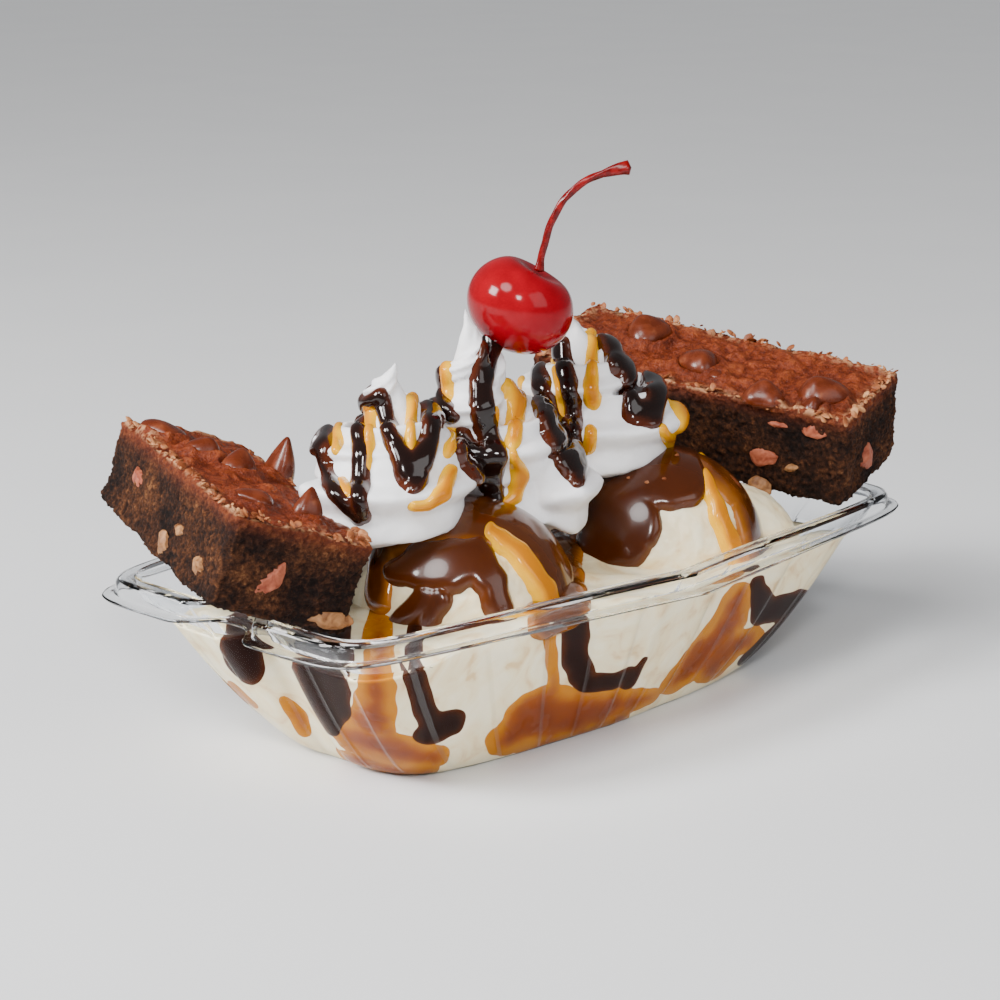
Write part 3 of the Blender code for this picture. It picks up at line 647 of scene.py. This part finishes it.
swirls = [build(*swirl) for swirl in SWIRLS for build in (rope_of_cream, core_of_cream)]
bpy.ops.object.select_all(action="DESELECT")
for item in swirls:
    item.select_set(True)
bpy.context.view_layer.objects.active = swirls[0]
bpy.ops.object.join()
cream = bpy.context.object
cream.name = "piped_cream"
finish_step(cream, "REMESH", mode="VOXEL", voxel_size=CREAM_VOXEL)
finish_step(cream, "SMOOTH", factor=0.5, iterations=1)
roughen(cream, 0.006, 0.0006)
roughen(cream, 0.0012, 0.00015)
bpy.ops.object.shade_smooth()

whipped, tree, shader = new_material("whipped_cream")
where = place_of(tree)
folds = node(tree, "ShaderNodeTexNoise", Vector=where, Scale=120.0, Detail=3.0)
tint(tree, shader, folds, (0.30, (0.83, 0.82, 0.83)), (0.70, (0.90, 0.89, 0.90)))
froth = node(tree, "ShaderNodeTexNoise", Vector=where, Scale=1500.0, Detail=3.0)
gloss(tree, shader, folds, 0.42, 0.58)
give(shader, Subsurface_Weight=0.15, Subsurface_Radius=(0.004, 0.0035, 0.003), Subsurface_Scale=1.0)
bumps(tree, shader, froth, 0.00008, 0.4)
cream.data.materials.append(whipped)
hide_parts("whipped_cream")
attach(cream, "root")

chocolate = sauce("dark_chocolate", (0.008, 0.0027, 0.0018), (0.012, 0.0036, 0.0022),
                  (0.060, 0.012, 0.004), 0.08)
soft_form = copy_of(cream, "soft_form")
finish_step(soft_form, "SMOOTH", factor=0.5, iterations=60)
CHOCOLATE_ON_CREAM = (
    ((-42, 68, 1.3), (-44, 66, 1.3)),
    ((-42.5, 66.5, 1.5), (-41, 62, 1.5), (-37.5, 59, 1.8), (-34.5, 55.5, 1.5)),
    ((-34, 75.5, 1.5), (-35, 71.5, 1.8), (-34, 67, 2), (-34.5, 61, 2), (-33.5, 56, 1.5)),
    ((-33.5, 75.5, 1.3), (-30.5, 77.5, 1.8), (-29, 72.5, 1.8), (-26.5, 68, 2), (-24.5, 65, 3),
     (-23, 63, 2.8)),
    ((-21, 77, 1.8), (-20, 73, 2), (-20, 69, 2), (-22, 66, 3)),
    ((-20.5, 84, 2.1), (-18.5, 80, 1.8), (-17.5, 73, 1.6), (-15.5, 71, 1.6)),
    ((-23, 83.5, 1.3), (-20.5, 76, 1.3)),
    ((-13.5, 67, 1.6), (-11.5, 63.5, 2.1), (-8, 61, 2.9), (-7.5, 56, 2.6), (-6, 52.5, 1.8)),
    ((-7, 85.5, 2.7), (-8.5, 81.5, 2.6), (-9.5, 76.5, 2.6), (-9, 70.5, 2.6), (-7.5, 65.5, 2.4),
     (-6, 62.5, 2.4), (-7, 58.5, 2.4)),
    ((2, 77.5, 1.9), (4, 71, 2.2), (6.5, 65, 2.2), (6.5, 65, 2.1), (9, 60, 2.7), (11.5, 56.5, 2.1)),
    ((8.5, 79, 2.2), (9.5, 74, 2.2), (11, 67, 1.9), (11.5, 61, 1.6), (12.5, 56.5, 1.3)),
    ((17, 83, 1.7), (20, 78, 2), (21, 75.5, 1.9), (23.5, 73.5, 1.9), (24, 68.5, 1.9),
     (24.5, 66, 2.5), (29, 65, 3), (30, 68, 2.5), (29.5, 71, 2.3), (28, 77, 2.5)),
    ((33, 70, 1.1), (37, 65.5, 1.1)),
)
CARAMEL_ON_CREAM = (
    ((-16, 89.5, 1), (-17, 82.5, 1.2), (-16.5, 75, 1.2)),
    ((-3, 85, 1.5), (-2.5, 79, 1.2), (-2.5, 75, 2), (-1.5, 71, 2), (-2.5, 65.5, 1.7)),
    ((-2.5, 63, 1), (-1, 57.5, 2), (-2, 53, 1.5), (-4.5, 51.5, 1.2)),
    ((15.5, 82, 1.3), (15.5, 76, 1.3), (15, 71.5, 1.8), (15.5, 68, 1.8)),
    ((15, 62, 1.5), (14.5, 58.5, 1.5)),
    ((7.5, 74, 1), (9, 63, 0.8)),
    ((35, 66, 1.6), (36.5, 62.5, 1.3), (35.5, 59, 1.3), (34.5, 55.5, 1.6), (31, 62, 1)),
    ((-7, 72, 1.2), (-7, 68.5, 1.2)),
    ((-16, 62.5, 1.7), (-17, 60, 1.7), (-20.5, 58, 1.4), (-23, 58, 1.4)),
    ((-16, 67.5, 1.2), (-16, 67, 1.4)),
    ((-33, 75.5, 1.5), (-32.5, 73, 1.2), (-32.5, 72, 1.2), (-33, 65, 1)),
    ((-24, 78.5, 1.2), (-24, 73, 1.2), (-24, 68, 1)),
    ((-39.5, 70, 1), (-39.5, 67.5, 1)),
    ((-38, 61.5, 1.2), (-36.5, 60.5, 1.2)),
)
for name, runs, thickness, edge, finish, slot in (
        ("chocolate_on_cream", CHOCOLATE_ON_CREAM, 0.0017, 1.9, chocolate, "fudge"),
        ("caramel_on_cream", CARAMEL_ON_CREAM, 0.0014, 1.5, caramel, "caramel")):
    layer = pour(soft_form, name, runs, thickness, edge, finish, waver=0.15, soften=4)
    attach(layer, "root")
bpy.data.objects.remove(soft_form)

# --------------------------------------------------------------------------- brownie bars
# Two bars cut from a slab of walnut brownie: a thin cracked crust on top, dense dark crumb
# with pale pieces on the cut sides, and chocolate chips baked into the crust.
BAR_WIDTH, BAR_VOXEL = 0.0325, 0.00046
LIP_WIDTH, LIP_LIFT, HANG_REACH = 0.0026, 0.0006, 0.0030     # crust along the cut edges
COLLAR_HEIGHT, COLLAR_WIDTH, CHIP_SINK = 0.0012, 0.0013, 0.0006
# Each chip: its place across and along the bar in half widths, its radius and its height.
LEFT_CHIPS = ((-0.57, 0.70, 0.0050, 0.0020), (-0.30, 0.37, 0.0037, 0.0028),
              (-0.01, 0.12, 0.0042, 0.0036), (0.80, 0.36, 0.0037, 0.0072),
              (-0.34, -0.55, 0.0039, 0.0018), (0.31, -0.63, 0.0031, 0.0048),
              (0.29, -0.83, 0.0016, 0.0012))
RIGHT_CHIPS = ((0.33, 0.49, 0.0057, 0.0040), (-0.21, 0.06, 0.0051, 0.0030),
               (-0.80, -0.45, 0.0047, 0.0036), (-0.34, -0.73, 0.0059, 0.0044),
               (-0.72, -0.73, 0.0028, 0.0022), (-0.47, -0.10, 0.0019, 0.0010))
# Each bar: side, length, thickness, middle, turn in degrees, taper, crown, chips, noise seed.
BARS = (("left", 0.0740, 0.0215, (-0.0700, 0.0190, 0.0509), (3.2, 19.0, -19.7), 0.11, 0.0026,
         LEFT_CHIPS, 3.0),
        ("right", 0.0840, 0.0238, (0.0731, 0.0062, 0.0570), (6.5, -12.4, 14.1), 0.0, 0.0006,
         RIGHT_CHIPS, 8.0))


def bar_shape(places, length, thickness, taper, crown):
    """Bend a plain block's places into the bar's outline: thin near end, domed top."""
    half = np.array((BAR_WIDTH, length, thickness)) / 2
    u = places / half
    bent = places.copy()
    low = places[:, 2] < 0
    bent[low, 2] *= 1.0 - taper * (1.0 + u[low, 1])
    bent[~low, 2] += crown * ((1.0 - u[:, 0] ** 2) * (0.5 + 0.5 * u[:, 1]) * u[:, 2])[~low]
    bent[:, 0] *= 1.0 + 0.05 * u[:, 2] ** 2 - 0.02
    return bent


def weigh(item, name, weights):
    """Vertex group with a weight per corner, in twenty steps."""
    group = item.vertex_groups.new(name=name)
    steps = np.rint(np.clip(weights, 0.0, 1.0) * 20).astype(int)
    for step in range(1, 21):
        group.add([int(i) for i in np.nonzero(steps == step)[0]], step / 20, "REPLACE")


def cracks(item, size, strength, group):
    """Narrow grooves between flakes of one size."""
    cells = bpy.data.textures.new("cells", "VORONOI")
    cells.noise_scale = size
    cells.weight_1, cells.weight_2 = -1.0, 1.0
    cells.noise_intensity = 2.0
    finish_step(item, "DISPLACE", texture=cells, strength=strength, mid_level=0.6,
                vertex_group=group, texture_coords="LOCAL")


def brownie_bar(name, length, thickness, middle, turn, taper, crown, chips, seed):
    """Bar with rough torn sides, a cracked crust, and a collar of crust round each chip."""
    bpy.ops.mesh.primitive_cube_add(size=1.0)
    made = bpy.context.object
    made.name = "bar_" + name
    size = np.array((BAR_WIDTH, length, thickness))
    move_corners(made, corners(made) * (size - 0.0012))
    finish_step(made, "BEVEL", width=0.0016, segments=3)
    finish_step(made, "REMESH", mode="VOXEL", voxel_size=BAR_VOXEL)
    away = np.array((seed, 2.0 * seed, 0.0)) * 0.1
    before = corners(made)
    ways = normals_of(made)
    top = np.clip((ways[:, 2] - 0.35) / 0.4, 0.0, 1.0)
    move_corners(made, before + away)
    weigh(made, "top", top)
    weigh(made, "sides", 1.0 - top)
    for lump, strength, group in ((0.0085, 0.0014, "sides"), (0.0020, 0.0007, "sides"),
                                  (0.0008, 0.0016, "sides"), (0.0110, 0.0022, "top"),
                                  (0.0030, 0.0011, "top"), (0.0012, 0.0005, "top")):
        roughen(made, lump, strength, group)
    cracks(made, 0.0060, 0.0014, "top")
    made.vertex_groups.clear()
    places = corners(made) - away
    relief = ((places - before) * ways).sum(axis=1)
    lip = np.exp(-((BAR_WIDTH / 2 - np.abs(before[:, 0])) / LIP_WIDTH) ** 2)
    lip = np.maximum(lip, np.exp(-((length / 2 - np.abs(before[:, 1])) / LIP_WIDTH) ** 2)) * top
    hang = 0.85 * np.exp(-((thickness / 2 - before[:, 2]) / HANG_REACH) ** 2)
    bent = bar_shape(before, length, thickness, taper, crown) + places - before
    bent += ways * (LIP_LIFT * lip)[:, None]
    for u, v, radius, _ in chips:
        gap = np.hypot(before[:, 0] - u * BAR_WIDTH / 2, before[:, 1] - v * length / 2)
        bent[:, 2] += COLLAR_HEIGHT * top * np.exp(-((gap - 1.06 * radius) / COLLAR_WIDTH) ** 2)
    spin = np.array(Euler([radians(a) for a in turn]).to_matrix())
    move_corners(made, bent @ spin.T + middle)
    number_each(made, "crust", np.maximum(top, hang))
    # The relief is kept for the colour: painted shade darkens the hollows and cracks, and painted
    # light brightens the raised lumps.
    number_each(made, "relief", np.clip(0.5 + relief / 0.003, 0.0, 1.0))
    number_each(made, "lip", lip)
    bpy.ops.object.shade_smooth()
    return made


brownie, tree, shader = new_material("brownie")
where = place_of(tree)
blend_in = tree.nodes.new("ShaderNodeMix")
blend_in.data_type = "RGBA"
patch = node(tree, "ShaderNodeTexNoise", Vector=where, Scale=820.0, Detail=8.0, Roughness=0.75)
# Painted shade and light: the tone is darker in hollows and cracks and lighter on raised lumps,
# following the stored relief, and it also wanders with a noise.
relief = number(tree, "relief")
tone_with_painted_shade = node(tree, "ShaderNodeMath", _0=patch.outputs[0], _1=levels(
    tree, relief, 0.2, 0.8, -0.13, 0.12))
broad = node(tree, "ShaderNodeTexNoise", Vector=where, Scale=70.0, Detail=2.0)
crumb_share = node(tree, "ShaderNodeMath", _0=tone_with_painted_shade.outputs[0], _1=levels(
    tree, broad.outputs[0], 0.35, 0.65, -0.09, 0.05))
crumb_tone = shades(tree, crumb_share.outputs[0], (0.34, (0.0040, 0.0013, 0.0007)),
                    (0.48, (0.020, 0.0065, 0.0026)), (0.62, (0.072, 0.0240, 0.0080)),
                    (0.80, (0.24, 0.100, 0.036)))
crust_tone = shades(tree, tone_with_painted_shade.outputs[0], (0.28, (0.070, 0.0095, 0.0026)),
                    (0.46, (0.155, 0.026, 0.0068)), (0.62, (0.255, 0.054, 0.0145)),
                    (0.82, (0.48, 0.165, 0.060)))
flaky = node(tree, "ShaderNodeTexNoise", Vector=where, Scale=700.0, Detail=3.0)
flakes = node(tree, "ShaderNodeMath", _0=number(tree, "lip"), _1=levels(
    tree, flaky.outputs[0], 0.46, 0.56, 0.0, 0.95))
flakes.operation = "MULTIPLY"
grit = node(tree, "ShaderNodeTexNoise", Vector=where, Scale=1400.0, Detail=5.0, Roughness=0.65)
pale = tree.nodes.new("ShaderNodeMix")
pale.data_type = "RGBA"
tree.links.new(flakes.outputs[0], pale.inputs[0])
tree.links.new(crust_tone, pale.inputs[6])
pale.inputs[7].default_value = (0.58, 0.30, 0.15, 1.0)
tree.links.new(number(tree, "crust"), blend_in.inputs[0])
tree.links.new(crumb_tone, blend_in.inputs[6])
tree.links.new(pale.outputs[2], blend_in.inputs[7])
tree.links.new(blend_in.outputs[2], shader.inputs["Base Color"])
tree.links.new(levels(tree, number(tree, "crust"), 0.0, 1.0, 0.85, 0.40),
               shader.inputs["Roughness"])
give(shader, Specular_IOR_Level=0.18)
bumps(tree, shader, grit, 0.0006, 0.9)

chip_finish, tree, shader = new_material("chocolate_chip")
bloom = node(tree, "ShaderNodeTexNoise", Vector=place_of(tree), Scale=300.0, Detail=3.0)
tint(tree, shader, bloom, (0.40, (0.085, 0.0145, 0.0045)), (0.62, (0.130, 0.0250, 0.0080)),
     (0.80, (0.25, 0.075, 0.030)))
gloss(tree, shader, bloom, 0.20, 0.36)
give(shader, Specular_IOR_Level=0.30)
bumps(tree, shader, bloom, 0.0004, 0.4)


def lay_on(item, bar, u, v, sink, spun=0.0):
    """Set a small piece down on a bar's top; u runs across the bar and v along it."""
    _, length, thickness, middle, turn, taper, crown, _, _ = bar
    half = np.array((BAR_WIDTH, length, thickness)) / 2
    spot = np.array([[u * half[0], v * half[1], half[2]]])
    foot = bar_shape(spot, length, thickness, taper, crown)[0]
    spin = np.array(Euler([radians(a) for a in turn]).to_matrix())
    own = np.array(Euler((0.0, 0.0, spun)).to_matrix())
    move_corners(item, (corners(item) @ own.T + foot - (0.0, 0.0, sink)) @ spin.T + middle)


def chocolate_chip(radius, height, seed):
    """Baked chip: a low dome with a soft blunt tip, sagged where it melted."""
    bpy.ops.mesh.primitive_uv_sphere_add(segments=32, ring_count=20, radius=1.0)
    made = bpy.context.object
    places = corners(made)
    rise = np.clip(places[:, 2], 0.0, 1.0)
    around = np.arctan2(places[:, 1], places[:, 0])
    steep = min(1.0, height / radius)
    squeeze = 1.0 - 0.35 * steep * rise
    wobble = 1.0 + 0.10 * np.sin(2 * around + seed) + 0.06 * np.sin(3 * around + 2.1 * seed)
    peak = height * (rise ** 0.85 + 0.18 * steep * rise ** 6)
    lean = 0.25 * radius * rise ** 2
    move_corners(made, np.stack([places[:, 0] * radius * squeeze * wobble + lean * np.cos(seed),
                                 places[:, 1] * radius * squeeze * wobble + lean * np.sin(seed),
                                 peak + np.minimum(places[:, 2], 0) * 0.0020], 1))
    bpy.ops.object.shade_smooth()
    return made


def join_all(pieces, name):
    """Make one piece of several."""
    bpy.ops.object.select_all(action="DESELECT")
    for item in pieces:
        item.select_set(True)
    bpy.context.view_layer.objects.active = pieces[0]
    bpy.ops.object.join()
    bpy.context.object.name = name
    return bpy.context.object


for bar in BARS:
    name, chips, seed = bar[0], bar[-2], bar[-1]
    made = brownie_bar(*bar)
    made.data.materials.append(brownie)
    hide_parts("brownie_" + name)
    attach(made, "root")
    set_down = []
    for i, (u, v, radius, height) in enumerate(chips):
        item = chocolate_chip(radius, height, seed + i)
        lay_on(item, bar, u, v, CHIP_SINK, i * 1.3)
        set_down.append(item)
    chips_on = join_all(set_down, "chips_on_" + name)
    chips_on.data.materials.append(chip_finish)
    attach(chips_on, "root")

# ------------------------------------------------------- pieces baked into the bars' sides
# Chunks of rosy chocolate and of walnut, baked into the slab and cut through, so that they lie
# nearly flush with the crumb of the sides.
LEFT_SIDE, LEFT_END, RIGHT_SIDE, RIGHT_END = -19.7, 70.3, 14.1, 104.1
CHUNK_DEPTH = 0.0003             # how far a chunk's middle is set into its side
# Each chunk, in mm: middle, half sizes along, into and up its side, turn, heading of its side.
ROSY_CHUNKS = (((-76.4, 41.0, 57.8), (3.6, 1.3, 2.8), -15, LEFT_SIDE),
               ((-86.7, -13.4, 48.7), (4.4, 1.4, 2.1), 42, LEFT_END),
               ((64.3, -16.8, 48.6), (3.9, 1.4, 2.4), 5, RIGHT_SIDE),
               ((66.6, -30.3, 56.6), (3.4, 1.4, 2.1), 0, RIGHT_SIDE),
               ((63.9, -21.2, 57.3), (2.7, 1.2, 0.9), -6, RIGHT_SIDE),
               ((82.4, -33.5, 48.3), (3.4, 1.4, 3.3), -5, RIGHT_END))
WALNUT_CHUNKS = (((-74.7, -17.4, 38.4), (4.8, 1.4, 2.1), -12, LEFT_END),
                 ((-87.8, 19.3, 50.0), (2.4, 1.3, 3.0), -20, LEFT_SIDE),
                 ((-87.8, 13.6, 54.0), (2.8, 1.2, 1.2), 0, LEFT_SIDE),
                 ((-94.5, -0.2, 50.2), (2.6, 1.2, 2.2), -30, LEFT_SIDE),
                 ((66.4, -23.4, 46.7), (1.8, 1.1, 1.0), 10, RIGHT_SIDE),
                 ((63.4, -16.4, 41.0), (3.4, 2.0, 2.9), 20, RIGHT_SIDE))


def chunk(middle, halves, turn, heading, seed):
    """Broken piece with soft facets, which lies nearly flush with the cut side."""
    bpy.ops.mesh.primitive_ico_sphere_add(subdivisions=5, radius=1.0)
    made = bpy.context.object
    ways = corners(made)
    facets = np.random.default_rng(seed).normal(size=(18, 3))
    facets /= np.linalg.norm(facets, axis=1)[:, None]
    reach = np.min(0.86 / np.maximum(ways @ facets.T, 0.2), axis=1)
    shaped = ways * np.minimum(reach, 1.08)[:, None] * halves / 1000
    spin = np.array(Euler((0.0, radians(-turn), 0.0)).to_matrix())
    into = np.array((cos(radians(heading)), sin(radians(heading)), 0.0))
    along = np.array((into[1], -into[0], 0.0))
    shaped = (shaped @ spin.T) @ (along, into, (0.0, 0.0, 1.0))
    move_corners(made, shaped + np.array(middle) / 1000 + CHUNK_DEPTH * into)
    finish_step(made, "SMOOTH", factor=0.5, iterations=2)
    roughen(made, 0.0012, 0.0004)
    bpy.ops.object.shade_smooth()
    return made


for name, chunks, low, high in (
        ("rosy_chunks", ROSY_CHUNKS, (0.20, 0.038, 0.016), (0.40, 0.115, 0.058)),
        ("walnut_chunks", WALNUT_CHUNKS, (0.13, 0.045, 0.012), (0.38, 0.18, 0.07))):
    pieces = join_all([chunk(*item, 10 + k) for k, item in enumerate(chunks)], name)
    finish, tree, shader = new_material(name)
    where = place_of(tree)
    grain = node(tree, "ShaderNodeTexNoise", Vector=where, Scale=420.0, Detail=4.0, Distortion=0.8)
    tint(tree, shader, grain, (0.35, low), (0.65, high))
    gloss(tree, shader, grain, 0.40, 0.60)
    give(shader, Specular_IOR_Level=0.25)
    bumps(tree, shader, grain, 0.0004, 0.6)
    pieces.data.materials.append(finish)
    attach(pieces, "root")

# ----------------------------------------------------------------------- flakes and crumbs
# Thin flakes of crust that broke loose along the cut edges of the bars, and a few crumbs that
# fell on the fudge of the right scoop.
FLAKES_PER_BAR = 170
FALLEN_CRUMBS = ((20.1, -14.2, 49.7), (21.0, -18.5, 49.3), (23.8, -20.8, 50.0),
                 (23.4, -12.7, 51.9), (31.5, -17.6, 53.2), (22.0, -16.8, 49.9))     # in mm
FUDGE_DEPTH = 0.0017             # the fudge that the crumbs lie on

bpy.ops.mesh.primitive_ico_sphere_add(subdivisions=2, radius=1.0)
flake = bpy.context.object
flake.name = "flake"
roughen(flake, 0.9, 0.5)
chance = np.random.default_rng(11)
flakes = []
for bar in BARS:
    for k in range(FLAKES_PER_BAR):
        item = copy_of(flake, "flake")
        size = 0.0004 + 0.0011 * chance.random() ** 2
        tilt = Euler((chance.uniform(-0.9, 0.9), chance.uniform(-0.9, 0.9), chance.uniform(0, 6)))
        shaped = corners(item) * (size, 0.75 * size, 0.30 * size)
        move_corners(item, shaped @ np.array(tilt.to_matrix()).T)
        u, v = chance.uniform(0.84, 0.97) * chance.choice((-1, 1)), chance.uniform(-0.97, 0.97)
        if k % 4 == 0:
            u, v = chance.uniform(-0.95, 0.95), -chance.uniform(0.93, 0.98)
        lay_on(item, bar, u, v, chance.uniform(0.0002, 0.0012))
        flakes.append(item)
ball_middle = np.array(SCOOPS[1][1])
for spot in FALLEN_CRUMBS:
    item = copy_of(flake, "crumb")
    spot = np.array(spot) / 1000
    out = (spot - ball_middle) / np.linalg.norm(spot - ball_middle)
    size = 0.0005 + 0.00035 * chance.random()
    move_corners(item, corners(item) * (size, 0.8 * size, 0.6 * size) + spot + FUDGE_DEPTH * out)
    flakes.append(item)
bpy.data.objects.remove(flake)
flakes = join_all(flakes, "flakes_and_crumbs")
bpy.ops.object.shade_flat()
finish, tree, shader = new_material("crust_flakes")
tan = node(tree, "ShaderNodeTexNoise", Vector=place_of(tree), Scale=260.0, Detail=2.0)
tint(tree, shader, tan, (0.35, (0.17, 0.042, 0.012)), (0.50, (0.31, 0.100, 0.035)),
     (0.65, (0.50, 0.24, 0.105)))
gloss(tree, shader, tan, 0.45, 0.65)
give(shader, Specular_IOR_Level=0.25)
bumps(tree, shader, tan, 0.0002, 0.3)
flakes.data.materials.append(finish)
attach(flakes, "root")

# ------------------------------------------------------------------- cherry and its stem
# Maraschino cherry, smooth and wet with syrup, with its stem still on: the stem comes out of
# a dimple, curves over and ends in a small thick knob.
CHERRY_CENTRE = np.array((-0.0039, -0.0025, 0.0921))
CHERRY_RADIUS, CHERRY_HALF_HEIGHT = 0.0121, 0.0104
DIMPLE_DEPTH, STEM_RADIUS = 0.0030, 0.0008
LEAN, HEADING = radians(30), radians(-46)

bpy.ops.mesh.primitive_uv_sphere_add(segments=96, ring_count=64, radius=1.0)
cherry = bpy.context.object
cherry.name = "red_cherry"
places = corners(cherry)
up = np.arcsin(np.clip(places[:, 2], -1, 1))
around = np.arctan2(places[:, 1], places[:, 0])
dimple = DIMPLE_DEPTH * np.exp(-((pi / 2 - up) / 0.42) ** 2)
waist = CHERRY_RADIUS * np.cos(up) * (1.0 + 0.012 * np.cos(2 * around + 1.0))
places = np.stack([waist * np.cos(around), waist * np.sin(around),
                   CHERRY_HALF_HEIGHT * np.sin(up) - dimple], 1)
lean = Vector((sin(LEAN) * cos(HEADING), sin(LEAN) * sin(HEADING), cos(LEAN)))
tilt = np.array(lean.to_track_quat("Z", "Y").to_matrix())
move_corners(cherry, places @ tilt.T + CHERRY_CENTRE)
bpy.ops.object.shade_smooth()

red, tree, shader = new_material("cherry_skin")
where = place_of(tree)
flush = node(tree, "ShaderNodeTexNoise", Vector=where, Scale=110.0, Detail=3.0)
tint(tree, shader, flush, (0.30, (0.19, 0.0, 0.0040)), (0.55, (0.26, 0.0, 0.0060)),
     (0.75, (0.31, 0.0, 0.0080)))
gloss(tree, shader, flush, 0.10, 0.16)
give(shader, Specular_IOR_Level=0.20, Subsurface_Weight=0.01,
     Subsurface_Radius=(0.004, 0.0006, 0.0006), Subsurface_Scale=1.0)
bumps(tree, shader, flush, 0.0003, 0.25)
cherry.data.materials.append(red)
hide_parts("cherry")
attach(cherry, "root")

aside = np.array((cos(HEADING), sin(HEADING), 0.0))
flat_way = np.array((-sin(HEADING), cos(HEADING), 0.0))


def stem_point(share):
    """Middle of the stem, from the dimple (0) to the thick cut end (1)."""
    reach = 0.0040 + 0.0060 * share + 0.0140 * share ** 3
    rise = 0.0072 + 0.0318 * share - 0.0090 * share ** 3
    return CHERRY_CENTRE + aside * reach + np.array((0.0, 0.0, rise))


bpy.ops.mesh.primitive_uv_sphere_add(segments=20, ring_count=80, radius=1.0)
stem = bpy.context.object
stem.name = "stem"
places = corners(stem)
share = 1.0 - np.arccos(np.clip(places[:, 2], -1, 1)) / pi
around = np.arctan2(places[:, 1], places[:, 0])
laid = []
for s, a in zip(share, around):
    ahead = stem_point(s + 0.01) - stem_point(s - 0.01)
    over = np.cross(ahead / np.linalg.norm(ahead), flat_way)
    knob = 1.1 * max(0.0, (s - 0.85) / 0.15)
    foot = 0.5 * max(0.0, (0.08 - s) / 0.08)
    closed = min(1.0, (s / 0.012) ** 0.5, ((1 - s) / 0.012) ** 0.5)
    size = STEM_RADIUS * (1.0 + knob + foot) * ((1.0 + 0.10 * sin(3 * a + 30 * s)) * closed)
    laid.append(stem_point(s) + size * (cos(a) * flat_way + sin(a) * over))
move_corners(stem, np.array(laid))
bpy.ops.object.shade_smooth()

stem_finish, tree, shader = new_material("cherry_stem")
streak = node(tree, "ShaderNodeTexNoise", Vector=place_of(tree), Scale=500.0, Detail=3.0)
tint(tree, shader, streak, (0.35, (0.09, 0.0003, 0.0006)), (0.65, (0.20, 0.0008, 0.0012)))
gloss(tree, shader, streak, 0.22, 0.34)
give(shader, Specular_IOR_Level=0.30)
bumps(tree, shader, streak, 0.0002, 0.4)
stem.data.materials.append(stem_finish)
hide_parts("cherry_stem")
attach(stem, "root")
